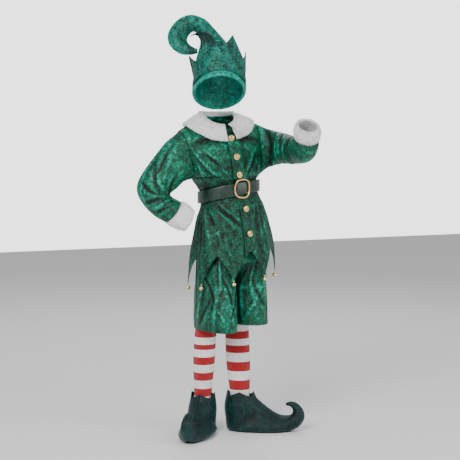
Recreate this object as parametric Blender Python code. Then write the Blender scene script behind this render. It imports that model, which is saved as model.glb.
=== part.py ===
"""Child's elf costume as worn: pointed tunic with collar, cuffs, buttons and bells, belt, knickers,
striped stockings, curled shoes and a curled hat with a turned-up pointed band.

Metres, +Z up. The tunic's front faces -Y and the wearer's left is +X. Heights are measured above the
shoe soles while modelling, and every piece is then placed so that the origin is at the base of the neck,
where the wearer's shoulders hold the tunic."""

import math

import bmesh
import bpy
import numpy as np
from mathutils import Vector
from mathutils.bvhtree import BVHTree

# Driving dimensions
SHOULDER_HEIGHT = 1.030
CLOTH = 0.0020
PLUSH = 0.0060
FOAM = 0.0030
SEAM = 0.0003
LIMB_TURN = math.radians(27)
BELT_HEIGHT = 0.800
BELT_WIDTH = 0.040
BELT_THICK = 0.0022
BELT_LIFT = 0.0066
BELT_TILT_SIDE = 0.017
BELT_TILT_FRONT = 0.012
UNDERARM = 0.845
NECK_FRONT = 0.998
TABS = 8
TAB_DROP = 0.082
TAB_FLARE = 0.009
HEM = 0.596
OVERLAP = 0.018
LAP_EASE = 0.0025
BUTTON_WIDTH = 0.021
BELL_WIDTH = 0.015

# The body of the tunic, row by row: nominal height, middle, half widths and half depths.
BODY_COLUMNS = ("height", "middle", "right", "left", "front", "back")
BODY = np.array([
    (0.500, 0.056, 0.142, 0.135, 0.130, 0.124),
    (0.596, 0.058, 0.140, 0.139, 0.121, 0.117),
    (0.665, 0.058, 0.131, 0.129, 0.112, 0.108),
    (0.740, 0.052, 0.113, 0.109, 0.098, 0.096),
    (0.776, 0.046, 0.099, 0.097, 0.086, 0.084),
    (0.800, 0.044, 0.098, 0.096, 0.085, 0.083),
    (0.824, 0.041, 0.099, 0.096, 0.086, 0.084),
    (0.845, 0.033, 0.119, 0.107, 0.091, 0.093),
    (0.880, 0.026, 0.120, 0.112, 0.095, 0.095),
    (0.925, 0.017, 0.118, 0.113, 0.095, 0.092),
    (0.965, 0.010, 0.110, 0.108, 0.084, 0.085),
    (0.998, 0.004, 0.100, 0.100, 0.062, 0.076),
])

# Folds of the tunic's body: degrees from the front, height, slant, length, width, depth.
FOLD_COLUMNS = ("angle", "height", "slant", "length", "width", "depth")
BODY_FOLDS = np.array([
    (-38, 0.700, -35, 0.075, 0.014, 0.0050),
    (-24, 0.665, -35, 0.060, 0.013, -0.0045),
    (-58, 0.640, -8, 0.075, 0.016, 0.0060),
    (-5, 0.640, 5, 0.080, 0.018, 0.0045),
    (30, 0.650, 4, 0.085, 0.018, 0.0060),
    (58, 0.640, 8, 0.085, 0.018, -0.0050),
    (88, 0.630, 4, 0.090, 0.020, 0.0060),
    (125, 0.640, 0, 0.085, 0.020, -0.0050),
    (155, 0.640, 4, 0.090, 0.020, 0.0060),
    (-150, 0.640, -4, 0.090, 0.020, -0.0050),
    (-115, 0.640, -4, 0.090, 0.020, 0.0060),
    (-88, 0.630, -4, 0.080, 0.018, -0.0045),
    (-60, 0.850, -30, 0.045, 0.013, 0.0050),
    (-30, 0.845, -25, 0.045, 0.012, 0.0035),
    (25, 0.850, 20, 0.045, 0.012, 0.0035),
    (55, 0.855, 25, 0.040, 0.012, 0.0040),
    (140, 0.850, 10, 0.045, 0.014, 0.0045),
    (-140, 0.850, -10, 0.045, 0.014, 0.0045),
])

# Rings of tubes, in the limb axes (across, toward the viewer's quarter, up): two opposite points of the
# ring, then the half vector square to the line between them.
RING_COLUMNS = ("a_across", "a_toward", "a_up", "b_across", "b_toward", "b_up", "c_across", "c_toward", "c_up")
SLEEVE_RIGHT = np.array([
    (-0.142, 0.050, 0.994, -0.100, 0.058, 0.842, 0.020, 0.054, 0.000),
    (-0.176, 0.054, 0.950, -0.110, 0.064, 0.832, 0.006, 0.060, 0.002),
    (-0.218, 0.060, 0.895, -0.130, 0.068, 0.812, 0.002, 0.058, 0.002),
    (-0.252, 0.066, 0.842, -0.146, 0.070, 0.800, 0.004, 0.056, 0.000),
    (-0.258, 0.072, 0.800, -0.150, 0.074, 0.792, 0.006, 0.053, -0.002),
    (-0.234, 0.080, 0.756, -0.140, 0.078, 0.783, 0.008, 0.050, -0.004),
    (-0.200, 0.088, 0.724, -0.128, 0.084, 0.777, 0.010, 0.045, -0.004),
    (-0.166, 0.096, 0.705, -0.117, 0.092, 0.771, 0.010, 0.038, -0.004),
])
SLEEVE_LEFT = np.array([
    (0.136, -0.058, 1.014, 0.138, -0.056, 0.862, 0.024, 0.047, 0.000),
    (0.180, -0.034, 1.003, 0.178, -0.034, 0.882, 0.002, 0.052, 0.000),
    (0.220, 0.010, 0.992, 0.218, 0.010, 0.891, -0.030, 0.044, 0.002),
    (0.254, 0.055, 0.981, 0.260, 0.062, 0.892, -0.036, 0.034, 0.004),
    (0.270, 0.096, 0.982, 0.280, 0.130, 0.898, -0.041, 0.016, 0.002),
    (0.278, 0.120, 0.990, 0.286, 0.170, 0.922, -0.042, 0.006, 0.000),
    (0.280, 0.138, 1.000, 0.288, 0.188, 0.950, -0.039, 0.004, 0.002),
])
CUFF_RIGHT = np.array([
    (-0.1640, 0.0970, 0.7036, -0.1150, 0.0930, 0.7706, 0.010, 0.039, -0.004),
    (-0.138, 0.102, 0.690, -0.096, 0.100, 0.761, 0.010, 0.039, -0.003),
    (-0.104, 0.110, 0.678, -0.072, 0.108, 0.742, 0.008, 0.035, -0.002),
])
CUFF_LEFT = np.array([
    (0.2802, 0.1386, 1.0006, 0.2882, 0.1886, 0.9506, -0.039, 0.004, 0.002),
    (0.281, 0.156, 1.018, 0.289, 0.205, 0.970, -0.039, 0.004, 0.002),
    (0.282, 0.176, 1.036, 0.290, 0.220, 0.992, -0.036, 0.004, 0.002),
])
STOCKING_COLUMNS = ("across", "toward", "up", "half_width", "half_depth")
STOCKING_RIGHT = np.array([
    (-0.024, 0.030, 0.410, 0.031, 0.038),
    (-0.037, 0.020, 0.340, 0.035, 0.039),
    (-0.043, 0.018, 0.240, 0.035, 0.040),
    (-0.046, 0.012, 0.160, 0.030, 0.034),
    (-0.048, 0.010, 0.105, 0.028, 0.031),
])
STOCKING_LEFT = np.array([
    (0.076, -0.046, 0.410, 0.030, 0.038),
    (0.067, -0.046, 0.340, 0.036, 0.039),
    (0.070, -0.034, 0.240, 0.036, 0.040),
    (0.074, -0.022, 0.160, 0.032, 0.035),
    (0.077, -0.020, 0.105, 0.030, 0.031),
])
# The shoe in its own axes, forward from the ankle and up: upper line, lower line, half width, half width
# of the lower edge.
SHOE_COLUMNS = ("top_forward", "top_up", "low_forward", "low_up", "half_width", "edge")
SHOE = np.array([
    (0.042, 0.118, -0.046, 0.122, 0.039, 0.0000),
    (0.056, 0.106, -0.056, 0.086, 0.044, 0.0000),
    (0.072, 0.092, -0.052, 0.040, 0.046, 0.0000),
    (0.086, 0.081, -0.044, 0.004, 0.044, 0.0060),
    (0.100, 0.071, -0.010, 0.004, 0.045, 0.0300),
    (0.116, 0.061, 0.036, 0.004, 0.045, 0.0370),
    (0.134, 0.054, 0.082, 0.004, 0.043, 0.0380),
    (0.150, 0.053, 0.124, 0.004, 0.038, 0.0320),
    (0.162, 0.054, 0.160, 0.004, 0.032, 0.0160),
    (0.169, 0.058, 0.192, 0.014, 0.026, 0.0000),
    (0.173, 0.066, 0.212, 0.042, 0.022, 0.0000),
    (0.171, 0.077, 0.208, 0.072, 0.018, 0.0000),
    (0.163, 0.084, 0.188, 0.094, 0.014, 0.0000),
    (0.154, 0.086, 0.168, 0.100, 0.009, 0.0000),
    (0.148, 0.088, 0.152, 0.096, 0.005, 0.0000),
])
SHOE_NOTCHES = 4
SHOE_NOTCH_DEPTH = 0.015
SOLE_THICK = 0.0035
SHOES = {
    "right": ((-0.047, 0.006), math.radians(104)),
    "left": ((0.080, -0.020), math.radians(6)),
}

# Knickers' legs: height, the leg's middle across and toward, half width, half depth.
LEG_COLUMNS = ("up", "across", "toward", "half_width", "half_depth")
LEG_RIGHT = np.array([
    (0.490, -0.006, 0.032, 0.054, 0.098),
    (0.440, -0.006, 0.040, 0.056, 0.107),
    (0.395, -0.006, 0.045, 0.058, 0.112),
    (0.350, -0.005, 0.046, 0.057, 0.112),
])
LEG_LEFT = np.array([
    (0.490, 0.096, -0.024, 0.059, 0.094),
    (0.440, 0.096, -0.021, 0.061, 0.097),
    (0.400, 0.096, -0.020, 0.062, 0.099),
    (0.366, 0.096, -0.020, 0.063, 0.100),
])
CROTCH = 0.520
KNICKERS_EASE = 0.012
HIP_EASE = {-1: 0.004, 1: 0.018}

# Hat: rings from the rim over the crown and round the curl, in the limb axes.
HAT = np.array([
    (0.090, 0.010, 1.140, -0.075, 0.010, 1.130, 0.000, 0.096, 0.050),
    (0.087, 0.008, 1.172, -0.070, 0.008, 1.168, 0.000, 0.092, 0.042),
    (0.077, 0.006, 1.216, -0.060, 0.004, 1.216, 0.000, 0.080, 0.026),
    (0.060, 0.004, 1.250, -0.040, 0.002, 1.258, 0.000, 0.058, 0.012),
    (0.040, 0.000, 1.277, -0.020, 0.000, 1.268, 0.000, 0.040, 0.004),
    (0.016, 0.000, 1.305, -0.034, 0.000, 1.284, 0.000, 0.030, 0.000),
    (-0.012, 0.000, 1.336, -0.048, 0.000, 1.304, 0.000, 0.026, 0.000),
    (-0.040, 0.000, 1.363, -0.064, 0.000, 1.317, 0.000, 0.025, 0.000),
    (-0.085, 0.000, 1.377, -0.078, 0.000, 1.321, 0.000, 0.025, 0.000),
    (-0.128, 0.000, 1.360, -0.089, 0.000, 1.313, 0.000, 0.025, 0.000),
    (-0.158, 0.012, 1.318, -0.096, 0.012, 1.299, 0.000, 0.024, 0.000),
    (-0.154, 0.026, 1.277, -0.095, 0.026, 1.287, 0.000, 0.020, 0.000),
    (-0.122, 0.038, 1.248, -0.086, 0.038, 1.275, 0.000, 0.014, 0.000),
    (-0.086, 0.044, 1.243, -0.073, 0.044, 1.267, 0.000, 0.009, 0.000),
    (-0.062, 0.046, 1.248, -0.062, 0.046, 1.263, 0.000, 0.005, 0.000),
])
BAND_POINTS = 6
BAND_HEIGHT = 0.060
POINT_HEIGHT = 0.052

GREEN = (0.010, 0.160, 0.105, 1)
DARK_GREEN = (0.006, 0.075, 0.060, 1)
WHITE = (0.90, 0.90, 0.88, 1)
BELT_GREEN = (0.004, 0.085, 0.050, 1)
GOLD = (0.83, 0.60, 0.18, 1)
RED = (0.72, 0.03, 0.04, 1)
FINISHES = {
    "velvet": (GREEN, 0.55, 0),
    "shoe_velvet": (DARK_GREEN, 0.6, 0),
    "plush": (WHITE, 0.9, 0),
    "belt_leather": (BELT_GREEN, 0.3, 0),
    "gold_metal": (GOLD, 0.25, 1),
    "stocking_knit": (RED, 0.8, 0),
}


def material_of(finish):
    """The Principled material of a named finish, made on first use."""
    found = bpy.data.materials.get(finish)
    if found:
        return found
    colour, roughness, metallic = FINISHES[finish]
    made = bpy.data.materials.new(finish)
    made.use_nodes = True
    shader = made.node_tree.nodes["Principled BSDF"]
    shader.inputs["Base Color"].default_value = colour
    shader.inputs["Roughness"].default_value = roughness
    shader.inputs["Metallic"].default_value = metallic
    made.diffuse_color = colour
    return made


def place(name, mesh, finish):
    """A named object with its material, set so that the base of the neck is the origin."""
    mesh.materials.append(material_of(finish))
    made = bpy.data.objects.new(name, mesh)
    made.location = (0, 0, -SHOULDER_HEIGHT)
    bpy.context.scene.collection.objects.link(made)
    mesh.shade_smooth()
    mesh.set_sharp_from_angle(angle=math.radians(50))
    return made


def spline(at, table):
    """A smooth curve through the table's rows (Catmull-Rom), read at fractional row numbers."""
    at = np.clip(np.asarray(at, float), 0, len(table) - 1)
    first = np.minimum(at.astype(int), len(table) - 2)
    t = (at - first)[..., None]
    padded = np.vstack([2 * table[0] - table[1], table, 2 * table[-1] - table[-2]])
    p0, p1, p2, p3 = (padded[first + k] for k in range(4))
    return 0.5 * (2 * p1 + (p2 - p0) * t + (2 * p0 - 5 * p1 + 4 * p2 - p3) * t**2 + (3 * p1 - p0 - 3 * p2 + p3) * t**3)


def row_at(height, table):
    """The fractional row number of a nominal height, in a table whose first column rises or falls."""
    heights = table[:, 0]
    rows = np.arange(len(table))
    if heights[0] > heights[-1]:
        return np.interp(height, heights[::-1], rows[::-1])
    return np.interp(height, heights, rows)


def from_limb(points):
    """Limb axes (across, toward, up) turned into the costume's own X, Y and Z."""
    across, toward, up = points[..., 0], points[..., 1], points[..., 2]
    c, s = math.cos(LIMB_TURN), math.sin(LIMB_TURN)
    return np.stack([across * c - toward * s, -across * s - toward * c, up], -1)


def grid_normals(points, closed):
    """Unit normals of a grid of points, from its row and column differences; closed wraps the columns."""
    if closed:
        along = np.roll(points, -1, 1) - np.roll(points, 1, 1)
    else:
        along = np.gradient(points, axis=1)
    normals = np.cross(along, np.gradient(points, axis=0))
    return normals / np.maximum(np.linalg.norm(normals, axis=-1, keepdims=True), 1e-12)


def wall(name, outer, inner, closed, finish, split=None):
    """A cloth wall between two grids of points, bridged at its open edges. A closed grid is a tube. Columns
    split and split + 1 are one column below, and part to both sides of an opening above."""
    rows, columns = outer.shape[:2]
    turns = columns if closed else columns - 1
    count = rows * columns
    bm = bmesh.new()
    points = [bm.verts.new(p) for p in np.concatenate([outer.reshape(-1, 3), inner.reshape(-1, 3)])]
    index = np.arange(count).reshape(rows, columns)
    if split is not None:
        joined = np.linalg.norm(outer[:, split] - outer[:, split + 1], axis=1) < SEAM / 10
        index[joined, split + 1] = index[joined, split]
    for r in range(rows - 1):
        for c in range(turns):
            if c == split:
                continue
            low = (index[r, c], index[r, (c + 1) % columns])
            high = (index[r + 1, c], index[r + 1, (c + 1) % columns])
            for triangle in ((low[0], low[1], high[1]), (low[0], high[1], high[0])):
                bm.faces.new([points[i] for i in triangle])
                bm.faces.new([points[count + i] for i in reversed(triangle)])
    bm.verts.index_update()
    outside = [e for e in bm.edges if e.is_boundary and e.verts[0].index < count]
    for edge in outside:
        a, b = (v.index for v in edge.verts)
        bm.faces.new([points[a], points[b], points[b + count], points[a + count]])
    bmesh.ops.delete(bm, geom=[v for v in bm.verts if not v.link_faces], context="VERTS")
    bmesh.ops.recalc_face_normals(bm, faces=bm.faces)
    mesh = bpy.data.meshes.new(name)
    bm.to_mesh(mesh)
    bm.free()
    return place(name, mesh, finish)


def fold_depth(angle, height, folds, reach):
    """The sum of soft ridges and troughs at each angle (degrees) and height; reach is metres per degree."""
    total = np.zeros_like(angle)
    for centre, level, slant, length, width, depth in folds:
        turn = (angle - centre + 180) % 360 - 180
        sideways, upward = turn * reach, height - level
        s, c = math.sin(math.radians(slant)), math.cos(math.radians(slant))
        across = sideways * c - upward * s
        along = sideways * s + upward * c
        total += depth * np.exp(-((across / width) ** 2) - (along / length) ** 2)
    held = np.clip((np.abs(height - BELT_HEIGHT) - 0.024) / 0.040, 0, 1)
    middle = np.clip((np.abs(angle) - 6) / 18, 0, 1)
    return total * held * middle


def belt_rise(angle):
    """How far the waist line lies above its nominal height at an angle from the front, in degrees."""
    a = np.radians(angle)
    return BELT_TILT_SIDE * np.sin(a) + BELT_TILT_FRONT * np.cos(a)


def body_points(angle, height, lift=0.0, folded=True):
    """Points of the tunic's body at angles from the front (degrees, wearer's left positive)."""
    angle, height = np.broadcast_arrays(np.asarray(angle, float), np.asarray(height, float))
    _, middle, right, left, front, back = np.moveaxis(spline(row_at(height, BODY), BODY), -1, 0)
    a = np.radians(angle)
    half_width = np.where(np.sin(a) > 0, left, right)
    half_depth = np.where(np.cos(a) > 0, front, back)
    folds = fold_depth(angle, height, BODY_FOLDS, 0.0019) if folded else 0.0
    out = 1 + (lift + folds) / np.hypot(half_width * np.sin(a), half_depth * np.cos(a))
    share = np.clip((UNDERARM - height) / (UNDERARM - 0.826), 0, 1)
    x = middle + half_width * np.sin(a) * out
    y = -half_depth * np.cos(a) * out
    return np.stack([x, y, height + belt_rise(angle) * share], -1)


def tab_drop(angle):
    """How far the hem hangs below its notches: eight points, each with hollow sides."""
    step = 360 / TABS
    off = np.abs((angle % step) - step / 2) / (step / 2)
    return TAB_DROP * (1 - off) ** 1.3


# Skirt rows below the underarm, as nominal heights, hem first.
SKIRT_ROWS = (0.596, 0.622, 0.655, 0.690, 0.730, 0.758, 0.776, 0.800, 0.824, UNDERARM)
# Armhole rows: share of the way up the armhole from the underarm to the shoulder.
ARMHOLE_ROWS = (0.13, 0.28, 0.43, 0.58, 0.73, 0.87, 1.0)
PANEL_TURNS = (0.0, 7.5, 15.0, 22.5, 30.0, 37.5, 45.0, 52.5, 60.0, 67.5, 75.0, 82.5, 90.0)
SHOULDER = {1: (0.133, -0.004, 1.026), -1: (-0.128, 0.006, 1.000)}
NECK_SIDE = {1: (0.052, 0.004, 1.050), -1: (-0.050, 0.006, 1.045)}
NECK_BACK = (0.000, 0.052, 1.048)
ARMHOLE_FRONT = 0.052
ARMHOLE_BACK = 0.050
ARMHOLE_BOW = {-1: 0.012, 1: -0.004}


def armhole_point(side, share, front):
    """A point of the armhole's edge: from the underarm (share 0) to the shoulder (share 1)."""
    low = body_points(90.0 * side, UNDERARM, folded=False)
    high = np.array(SHOULDER[side])
    turn = math.pi * share
    reach = -ARMHOLE_FRONT if front else ARMHOLE_BACK
    blend = (1 - math.cos(turn)) / 2
    point = low + (high - low) * blend
    point[0] += side * ARMHOLE_BOW[side] * math.sin(turn)
    point[1] += reach * math.sin(turn)
    return point


def inner_point(side, share, front, over):
    """A point of the inner edge above the underarm: up the front or back, then along the neckline."""
    climb = 0.62 if front else 0.90
    neck = NECK_FRONT if front else NECK_BACK[2]
    neck_y = -0.0600 if front else NECK_BACK[1]
    if share <= climb:
        height = UNDERARM + (neck - UNDERARM) * share / climb
        x, y = body_edge(side, height, front, over)
        top_x, top_y = body_edge(side, NECK_FRONT, front, over)
        if not front and height > NECK_FRONT:
            x, y = top_x, neck_y + (top_y - neck_y) * (neck - height) / (neck - NECK_FRONT)
        return np.array([x, y, height])
    start = inner_point(side, climb, front, over)
    end = np.array(NECK_SIDE[side])
    turn = (share - climb) / (1 - climb) * math.pi / 2
    return np.array([
        start[0] + (end[0] - start[0]) * math.sin(turn),
        end[1] + (start[1] - end[1]) * math.cos(turn),
        start[2] + (end[2] - start[2]) * (1 - math.cos(turn)),
    ])


def body_edge(side, height, front, over):
    """Plan position of the front or back edge at a height; over is how far it passes the middle."""
    _, middle, right, left, fore, aft = spline(row_at(height, BODY), BODY)
    width, depth = (left if side > 0 else right), (fore if front else aft)
    run = math.sqrt(1 - (over / width) ** 2)
    return middle - side * over, (-depth if front else depth) * run


def panel_rows(side, front, over, edge_gap):
    """A panel's grid: skirt rows round the body's ellipse, then rows from neckline to armhole."""
    rows = []
    for height in SKIRT_ROWS:
        _, middle, right, left, fore, aft = spline(row_at(height, BODY), BODY)
        width, depth = (left if side > 0 else right), (fore if front else aft)
        first = -math.degrees(over / width)
        last = 90.0 - math.degrees(edge_gap / depth)
        turn = np.array((first,) * (over > 0) + PANEL_TURNS)
        turn[-1] = last
        u = (turn - first) / (last - first)
        angle = side * turn if front else side * (180.0 - turn)
        drop = tab_drop(angle) * np.clip((0.70 - height) / (0.70 - HEM), 0, 1) ** 1.5
        rows.append(body_points(angle, height - drop, TAB_FLARE * drop / TAB_DROP))
    for share in ARMHOLE_ROWS:
        inside = inner_point(side, share, front, over)
        outside = armhole_point(side, share, front)
        middle = spline(row_at(min(inside[2], NECK_FRONT), BODY), BODY)[1]
        lead = math.asin(np.clip((inside[0] - middle) / (outside[0] - middle), -0.9, 0.9))
        turn = lead + (math.pi / 2 - lead) * u
        reach = (outside[1] - inside[1]) / math.cos(lead)
        x = middle + (outside[0] - middle) * np.sin(turn)
        y = outside[1] - reach * np.cos(turn)
        rise = (np.sin(turn) - math.sin(lead)) / (1 - math.sin(lead))
        z = inside[2] + (outside[2] - inside[2]) * rise
        row = np.stack([x, y, z], -1)
        if share == ARMHOLE_ROWS[-1]:
            row[:, 1] += -edge_gap if front else edge_gap
        rows.append(row)
    return np.array(rows)


def outward(points, closed=False):
    """Grid normals turned to point away from the middle of the body."""
    normals = grid_normals(points, closed)
    middle = points.reshape(-1, 3).mean(0)
    middle[1] = 0.0
    if np.sum(normals * (points - middle)) < 0:
        normals = -normals
    return normals


def seam_normals(normals, sides):
    """Normals made square to the seams, at the side columns of the skirt rows and along the shoulder."""
    normals = normals.copy()
    skirt = len(SKIRT_ROWS)
    for column in sides:
        normals[:skirt, column, 1] = 0
    normals[-1] = np.stack([0.3 * np.sign(normals[-2, :, 0]), 0 * normals[-1, :, 1], 1 + 0 * normals[-1, :, 2]], -1)
    return normals / np.linalg.norm(normals, axis=-1, keepdims=True)


def make_tunic():
    """Back panel and two fronts; the left front laps over the right one."""
    half_gap = SEAM / 2
    sheets = {}
    for side in (-1, 1):
        front = panel_rows(side, True, OVERLAP if side > 0 else 0.010, half_gap)
        normals = seam_normals(outward(front), (-1,))
        if side > 0:
            middle = front[:, :1, 0] + OVERLAP
            past = np.clip(1 - (np.abs(front[..., 0] - middle) - 0.016) / 0.030, 0, 1)
            fade = past * past * (3 - 2 * past)
            fade[front[..., 2] > NECK_FRONT + 0.03] *= 0.4
            ease = np.where(front[..., 2] > UNDERARM, 2.0, 1.0) * LAP_EASE
            front = front + normals * ((CLOTH + ease) * fade)[..., None]
        sheets[side] = (front, normals)
        name = "tunic_front_left" if side > 0 else "tunic_front_right"
        wall(name, front, front - normals * CLOTH, False, "velvet")
    right = panel_rows(-1, False, 0.0, half_gap)
    left = panel_rows(1, False, 0.0, half_gap)
    back = np.concatenate([right[:, ::-1], left], axis=1)
    normals = outward(back)
    split = right.shape[1] - 1
    normals[:-1, split] += normals[:-1, split + 1]
    normals[:-1, split + 1] = normals[:-1, split]
    normals = seam_normals(normals, (0, -1))
    wall("tunic_back", back, back - normals * CLOTH, False, "velvet", split)
    sheets["back right"] = (right, normals)
    sheets["back left"] = (left, normals)
    return sheets


def ring_tube(table, rows, columns, phase=0.0):
    """Rings read from a table: the ring's middle, plus its two half vectors by cosine and sine."""
    at = np.linspace(0, len(table) - 1, rows)
    values = spline(at, table)
    a, b, c = values[:, 0:3], values[:, 3:6], values[:, 6:9]
    psi = phase + np.linspace(0, 2 * math.pi, columns, endpoint=False)
    middle, half = (a + b) / 2, (a - b) / 2
    ring = middle[:, None] + half[:, None] * np.cos(psi)[None, :, None] + c[:, None] * np.sin(psi)[None, :, None]
    return from_limb(ring), psi


def tube_normals(points):
    """Normals of a closed tube, turned away from each ring's own middle."""
    normals = grid_normals(points, True)
    if np.sum(normals * (points - points.mean(1, keepdims=True))) < 0:
        normals = -normals
    return normals


def armhole_ring(side):
    """The armhole's whole edge as a ring: shoulder, front, underarm, back."""
    shares = (0.0,) + ARMHOLE_ROWS
    front = [armhole_point(side, s, True) for s in shares]
    back = [armhole_point(side, s, False) for s in shares]
    return np.array(front[::-1] + back[1:-1])


# Soft folds round and along the sleeves: ring share, angle, half length in shares, half width, depth.
SLEEVE_FOLDS = {
    -1: ((0.30, 20, 0.22, 16, -0.006), (0.38, 60, 0.20, 15, 0.005), (0.52, -60, 0.16, 18, -0.005),
         (0.62, 40, 0.14, 18, -0.006), (0.70, 90, 0.14, 18, 0.005), (0.55, 150, 0.12, 22, -0.005)),
    1: ((0.22, 80, 0.10, 30, -0.006), (0.36, 60, 0.08, 34, 0.005), (0.48, 80, 0.08, 30, -0.006),
        (0.62, 20, 0.10, 30, 0.005), (0.74, 60, 0.08, 30, -0.005), (0.30, -90, 0.12, 30, -0.005)),
}


def sleeve_folds(side, share, psi):
    """Depth of the sleeve's folds at ring shares and angles."""
    total = np.zeros(np.broadcast_shapes(share.shape, psi.shape))
    for centre, angle, length, width, depth in SLEEVE_FOLDS[side]:
        turn = (np.degrees(psi) - angle + 180) % 360 - 180
        total = total + depth * np.exp(-(((share - centre) / length) ** 2) - (turn / width) ** 2)
    return 0.8 * total


def make_sleeve(side):
    """A sleeve whose first ring follows the armhole and whose other rings follow the arm."""
    table = SLEEVE_RIGHT if side < 0 else SLEEVE_LEFT
    hole = armhole_ring(side)
    columns, rows = len(hole), 12
    tube, psi = ring_tube(table, rows, columns)
    if side > 0:
        order = (-np.arange(columns)) % columns
        tube = tube[:, order]
    first = hole + np.array([side * 0.0006, 0, 0])
    # the ring is matched to the armhole by the smallest total distance
    shifts = [np.sum((np.roll(tube[0], k, 0) - first) ** 2) for k in range(columns)]
    flipped = tube[:, ::-1]
    flips = [np.sum((np.roll(flipped[0], k, 0) - first) ** 2) for k in range(columns)]
    if min(flips) < min(shifts):
        tube, shifts = flipped, flips
    shift = int(np.argmin(shifts))
    tube = np.roll(tube, shift, 1)
    share = np.linspace(0, 1, rows)[:, None]
    middle = tube.mean(1, keepdims=True)
    spoke = tube - middle
    spoke /= np.linalg.norm(spoke, axis=-1, keepdims=True)
    depth = sleeve_folds(side, share, np.linspace(0, 2 * math.pi, columns, endpoint=False)[None])
    tube = tube + spoke * (depth * np.minimum(1, share * 5) * np.minimum(1, (1 - share) * 5))[..., None]
    tube = np.concatenate([first[None], tube[1:]], axis=0)
    normals = tube_normals(tube)
    spoke = tube[:2] - tube[:2].mean(1, keepdims=True)
    spoke[0, :, 0] = 0
    spoke /= np.linalg.norm(spoke, axis=-1, keepdims=True)
    normals[0] = spoke[0]
    normals[1] = (normals[1] + spoke[1]) / 2
    inner = tube - normals * CLOTH
    wall(f"sleeve_{'right' if side < 0 else 'left'}", tube, inner, True, "velvet")


def make_cuff(side):
    """A plush cuff: a thick band, open at both ends."""
    table = CUFF_RIGHT if side < 0 else CUFF_LEFT
    tube, _ = ring_tube(table, 4, 18)
    normals = tube_normals(tube)
    bulge = np.array([0.0, 0.003, 0.003, 0.0])[:, None, None]
    name = f"cuff_{'right' if side < 0 else 'left'}"
    wall(name, tube + normals * bulge, tube - normals * PLUSH, True, "plush")


def body_tree(sheets):
    """A search tree of the tunic's outer surface, for laying pieces on it."""
    points, faces = [], []
    for grid, _ in sheets.values():
        rows, columns = grid.shape[:2]
        start = len(points)
        points += [Vector(p) for p in grid.reshape(-1, 3)]
        for r in range(rows - 1):
            for c in range(columns - 1):
                i = start + r * columns + c
                faces.append((i, i + 1, i + 1 + columns, i + columns))
    return BVHTree.FromPolygons(points, faces)


COLLAR_CENTRE = Vector((0.000, 0.000, 0.950))
COLLAR_WIDTH = 0.064
COLLAR_START = {-1: 4.0, 1: 15.0}


def collar_grid(side, tree, rows, columns, lift):
    """Half the collar: rays from a point inside the neck find the tunic, from neckline to outer edge."""
    grid = np.zeros((rows, columns, 3))
    for c in range(columns):
        start = COLLAR_START[side]
        turn = math.radians(start + (179.5 - start) * c / (columns - 1)) * side
        heading = Vector((math.sin(turn), -math.cos(turn), 0))
        # the neckline's own slope: low at the front, high at the sides and back
        neck = Vector((heading.x * 0.054 + 0.002, heading.y * 0.058, 0))
        neck.z = 1.010 + 0.050 * min(1, (1 - math.cos(abs(turn))) * 0.9)
        edge_round = min(1.0, (abs(math.degrees(turn)) - 2) / 70)
        width = COLLAR_WIDTH * (0.66 + 0.34 * edge_round)
        last, run, slope = None, 0.0, math.atan2(neck.z - COLLAR_CENTRE.z, neck.xy.length)
        path = [neck + Vector((0, 0, 0.004))]
        while run < width and slope > -1.2:
            slope -= 0.02
            ray = Vector((heading.x * math.cos(slope), heading.y * math.cos(slope), math.sin(slope)))
            hit, normal, _, _ = tree.ray_cast(COLLAR_CENTRE, ray)
            if hit is None:
                continue
            if last is not None:
                run += (hit - last).length
            last = hit
            path.append(hit + ray * (lift + 0.005 * math.exp(-((math.degrees(turn) / 24) ** 2))))
        lengths = np.cumsum([0] + [(q - p).length for p, q in zip(path, path[1:])])
        even = np.linspace(0, lengths[-1], rows)
        points = np.array([p[:] for p in path])
        grid[:, c] = np.stack([np.interp(even, lengths, points[:, k]) for k in range(3)], -1)
    return grid


def make_collar(tree):
    """Two halves of a flat round plush collar that lie on the shoulders."""
    for side, name in ((-1, "collar_right"), (1, "collar_left")):
        under = collar_grid(side, tree, 5, 16, 0.0080)
        normals = grid_normals(under, False)
        if normals[..., 2].sum() < 0:
            normals = -normals
        thick = np.array([0.5, 1.0, 1.0, 1.0, 0.5])[:, None, None] * PLUSH
        wall(name, under + normals * thick, under, False, "plush")


def hit_front(tree, angle, height):
    """The outermost tunic point at an angle and nominal height, and the direction away from it."""
    near = body_points(angle, height, folded=False)
    middle = spline(row_at(height, BODY), BODY)[1]
    away = Vector((near[0] - middle, near[1], 0)).normalized()
    hit, _, _, _ = tree.ray_cast(Vector(near) + away * 0.2, -away)
    return hit, away


def turned_piece(name, profile, base, axis, finish, steps=12):
    """A round piece spun about an axis through base; profile is (radius, distance along the axis)."""
    bm = bmesh.new()
    verts = [bm.verts.new((r, 0, z)) for r, z in profile]
    edges = [bm.edges.new(pair) for pair in zip(verts, verts[1:])]
    bmesh.ops.spin(bm, geom=verts + edges, cent=(0, 0, 0), axis=(0, 0, 1), angle=math.tau, steps=steps)
    bmesh.ops.remove_doubles(bm, verts=bm.verts, dist=0.00005)
    bmesh.ops.recalc_face_normals(bm, faces=bm.faces)
    turn = Vector(axis).to_track_quat("Z", "Y").to_matrix().to_4x4()
    turn.translation = base
    bmesh.ops.transform(bm, matrix=turn, verts=bm.verts)
    mesh = bpy.data.meshes.new(name)
    bm.to_mesh(mesh)
    bm.free()
    return place(name, mesh, finish)


BUTTON_HEIGHTS = (0.975, 0.915, 0.857, 0.735, 0.655)
BUTTON_PROFILE = ((0, 0), (0.45, 0), (0.5, 0.06), (0.48, 0.13), (0.36, 0.17), (0.30, 0.11), (0, 0.13))


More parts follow.
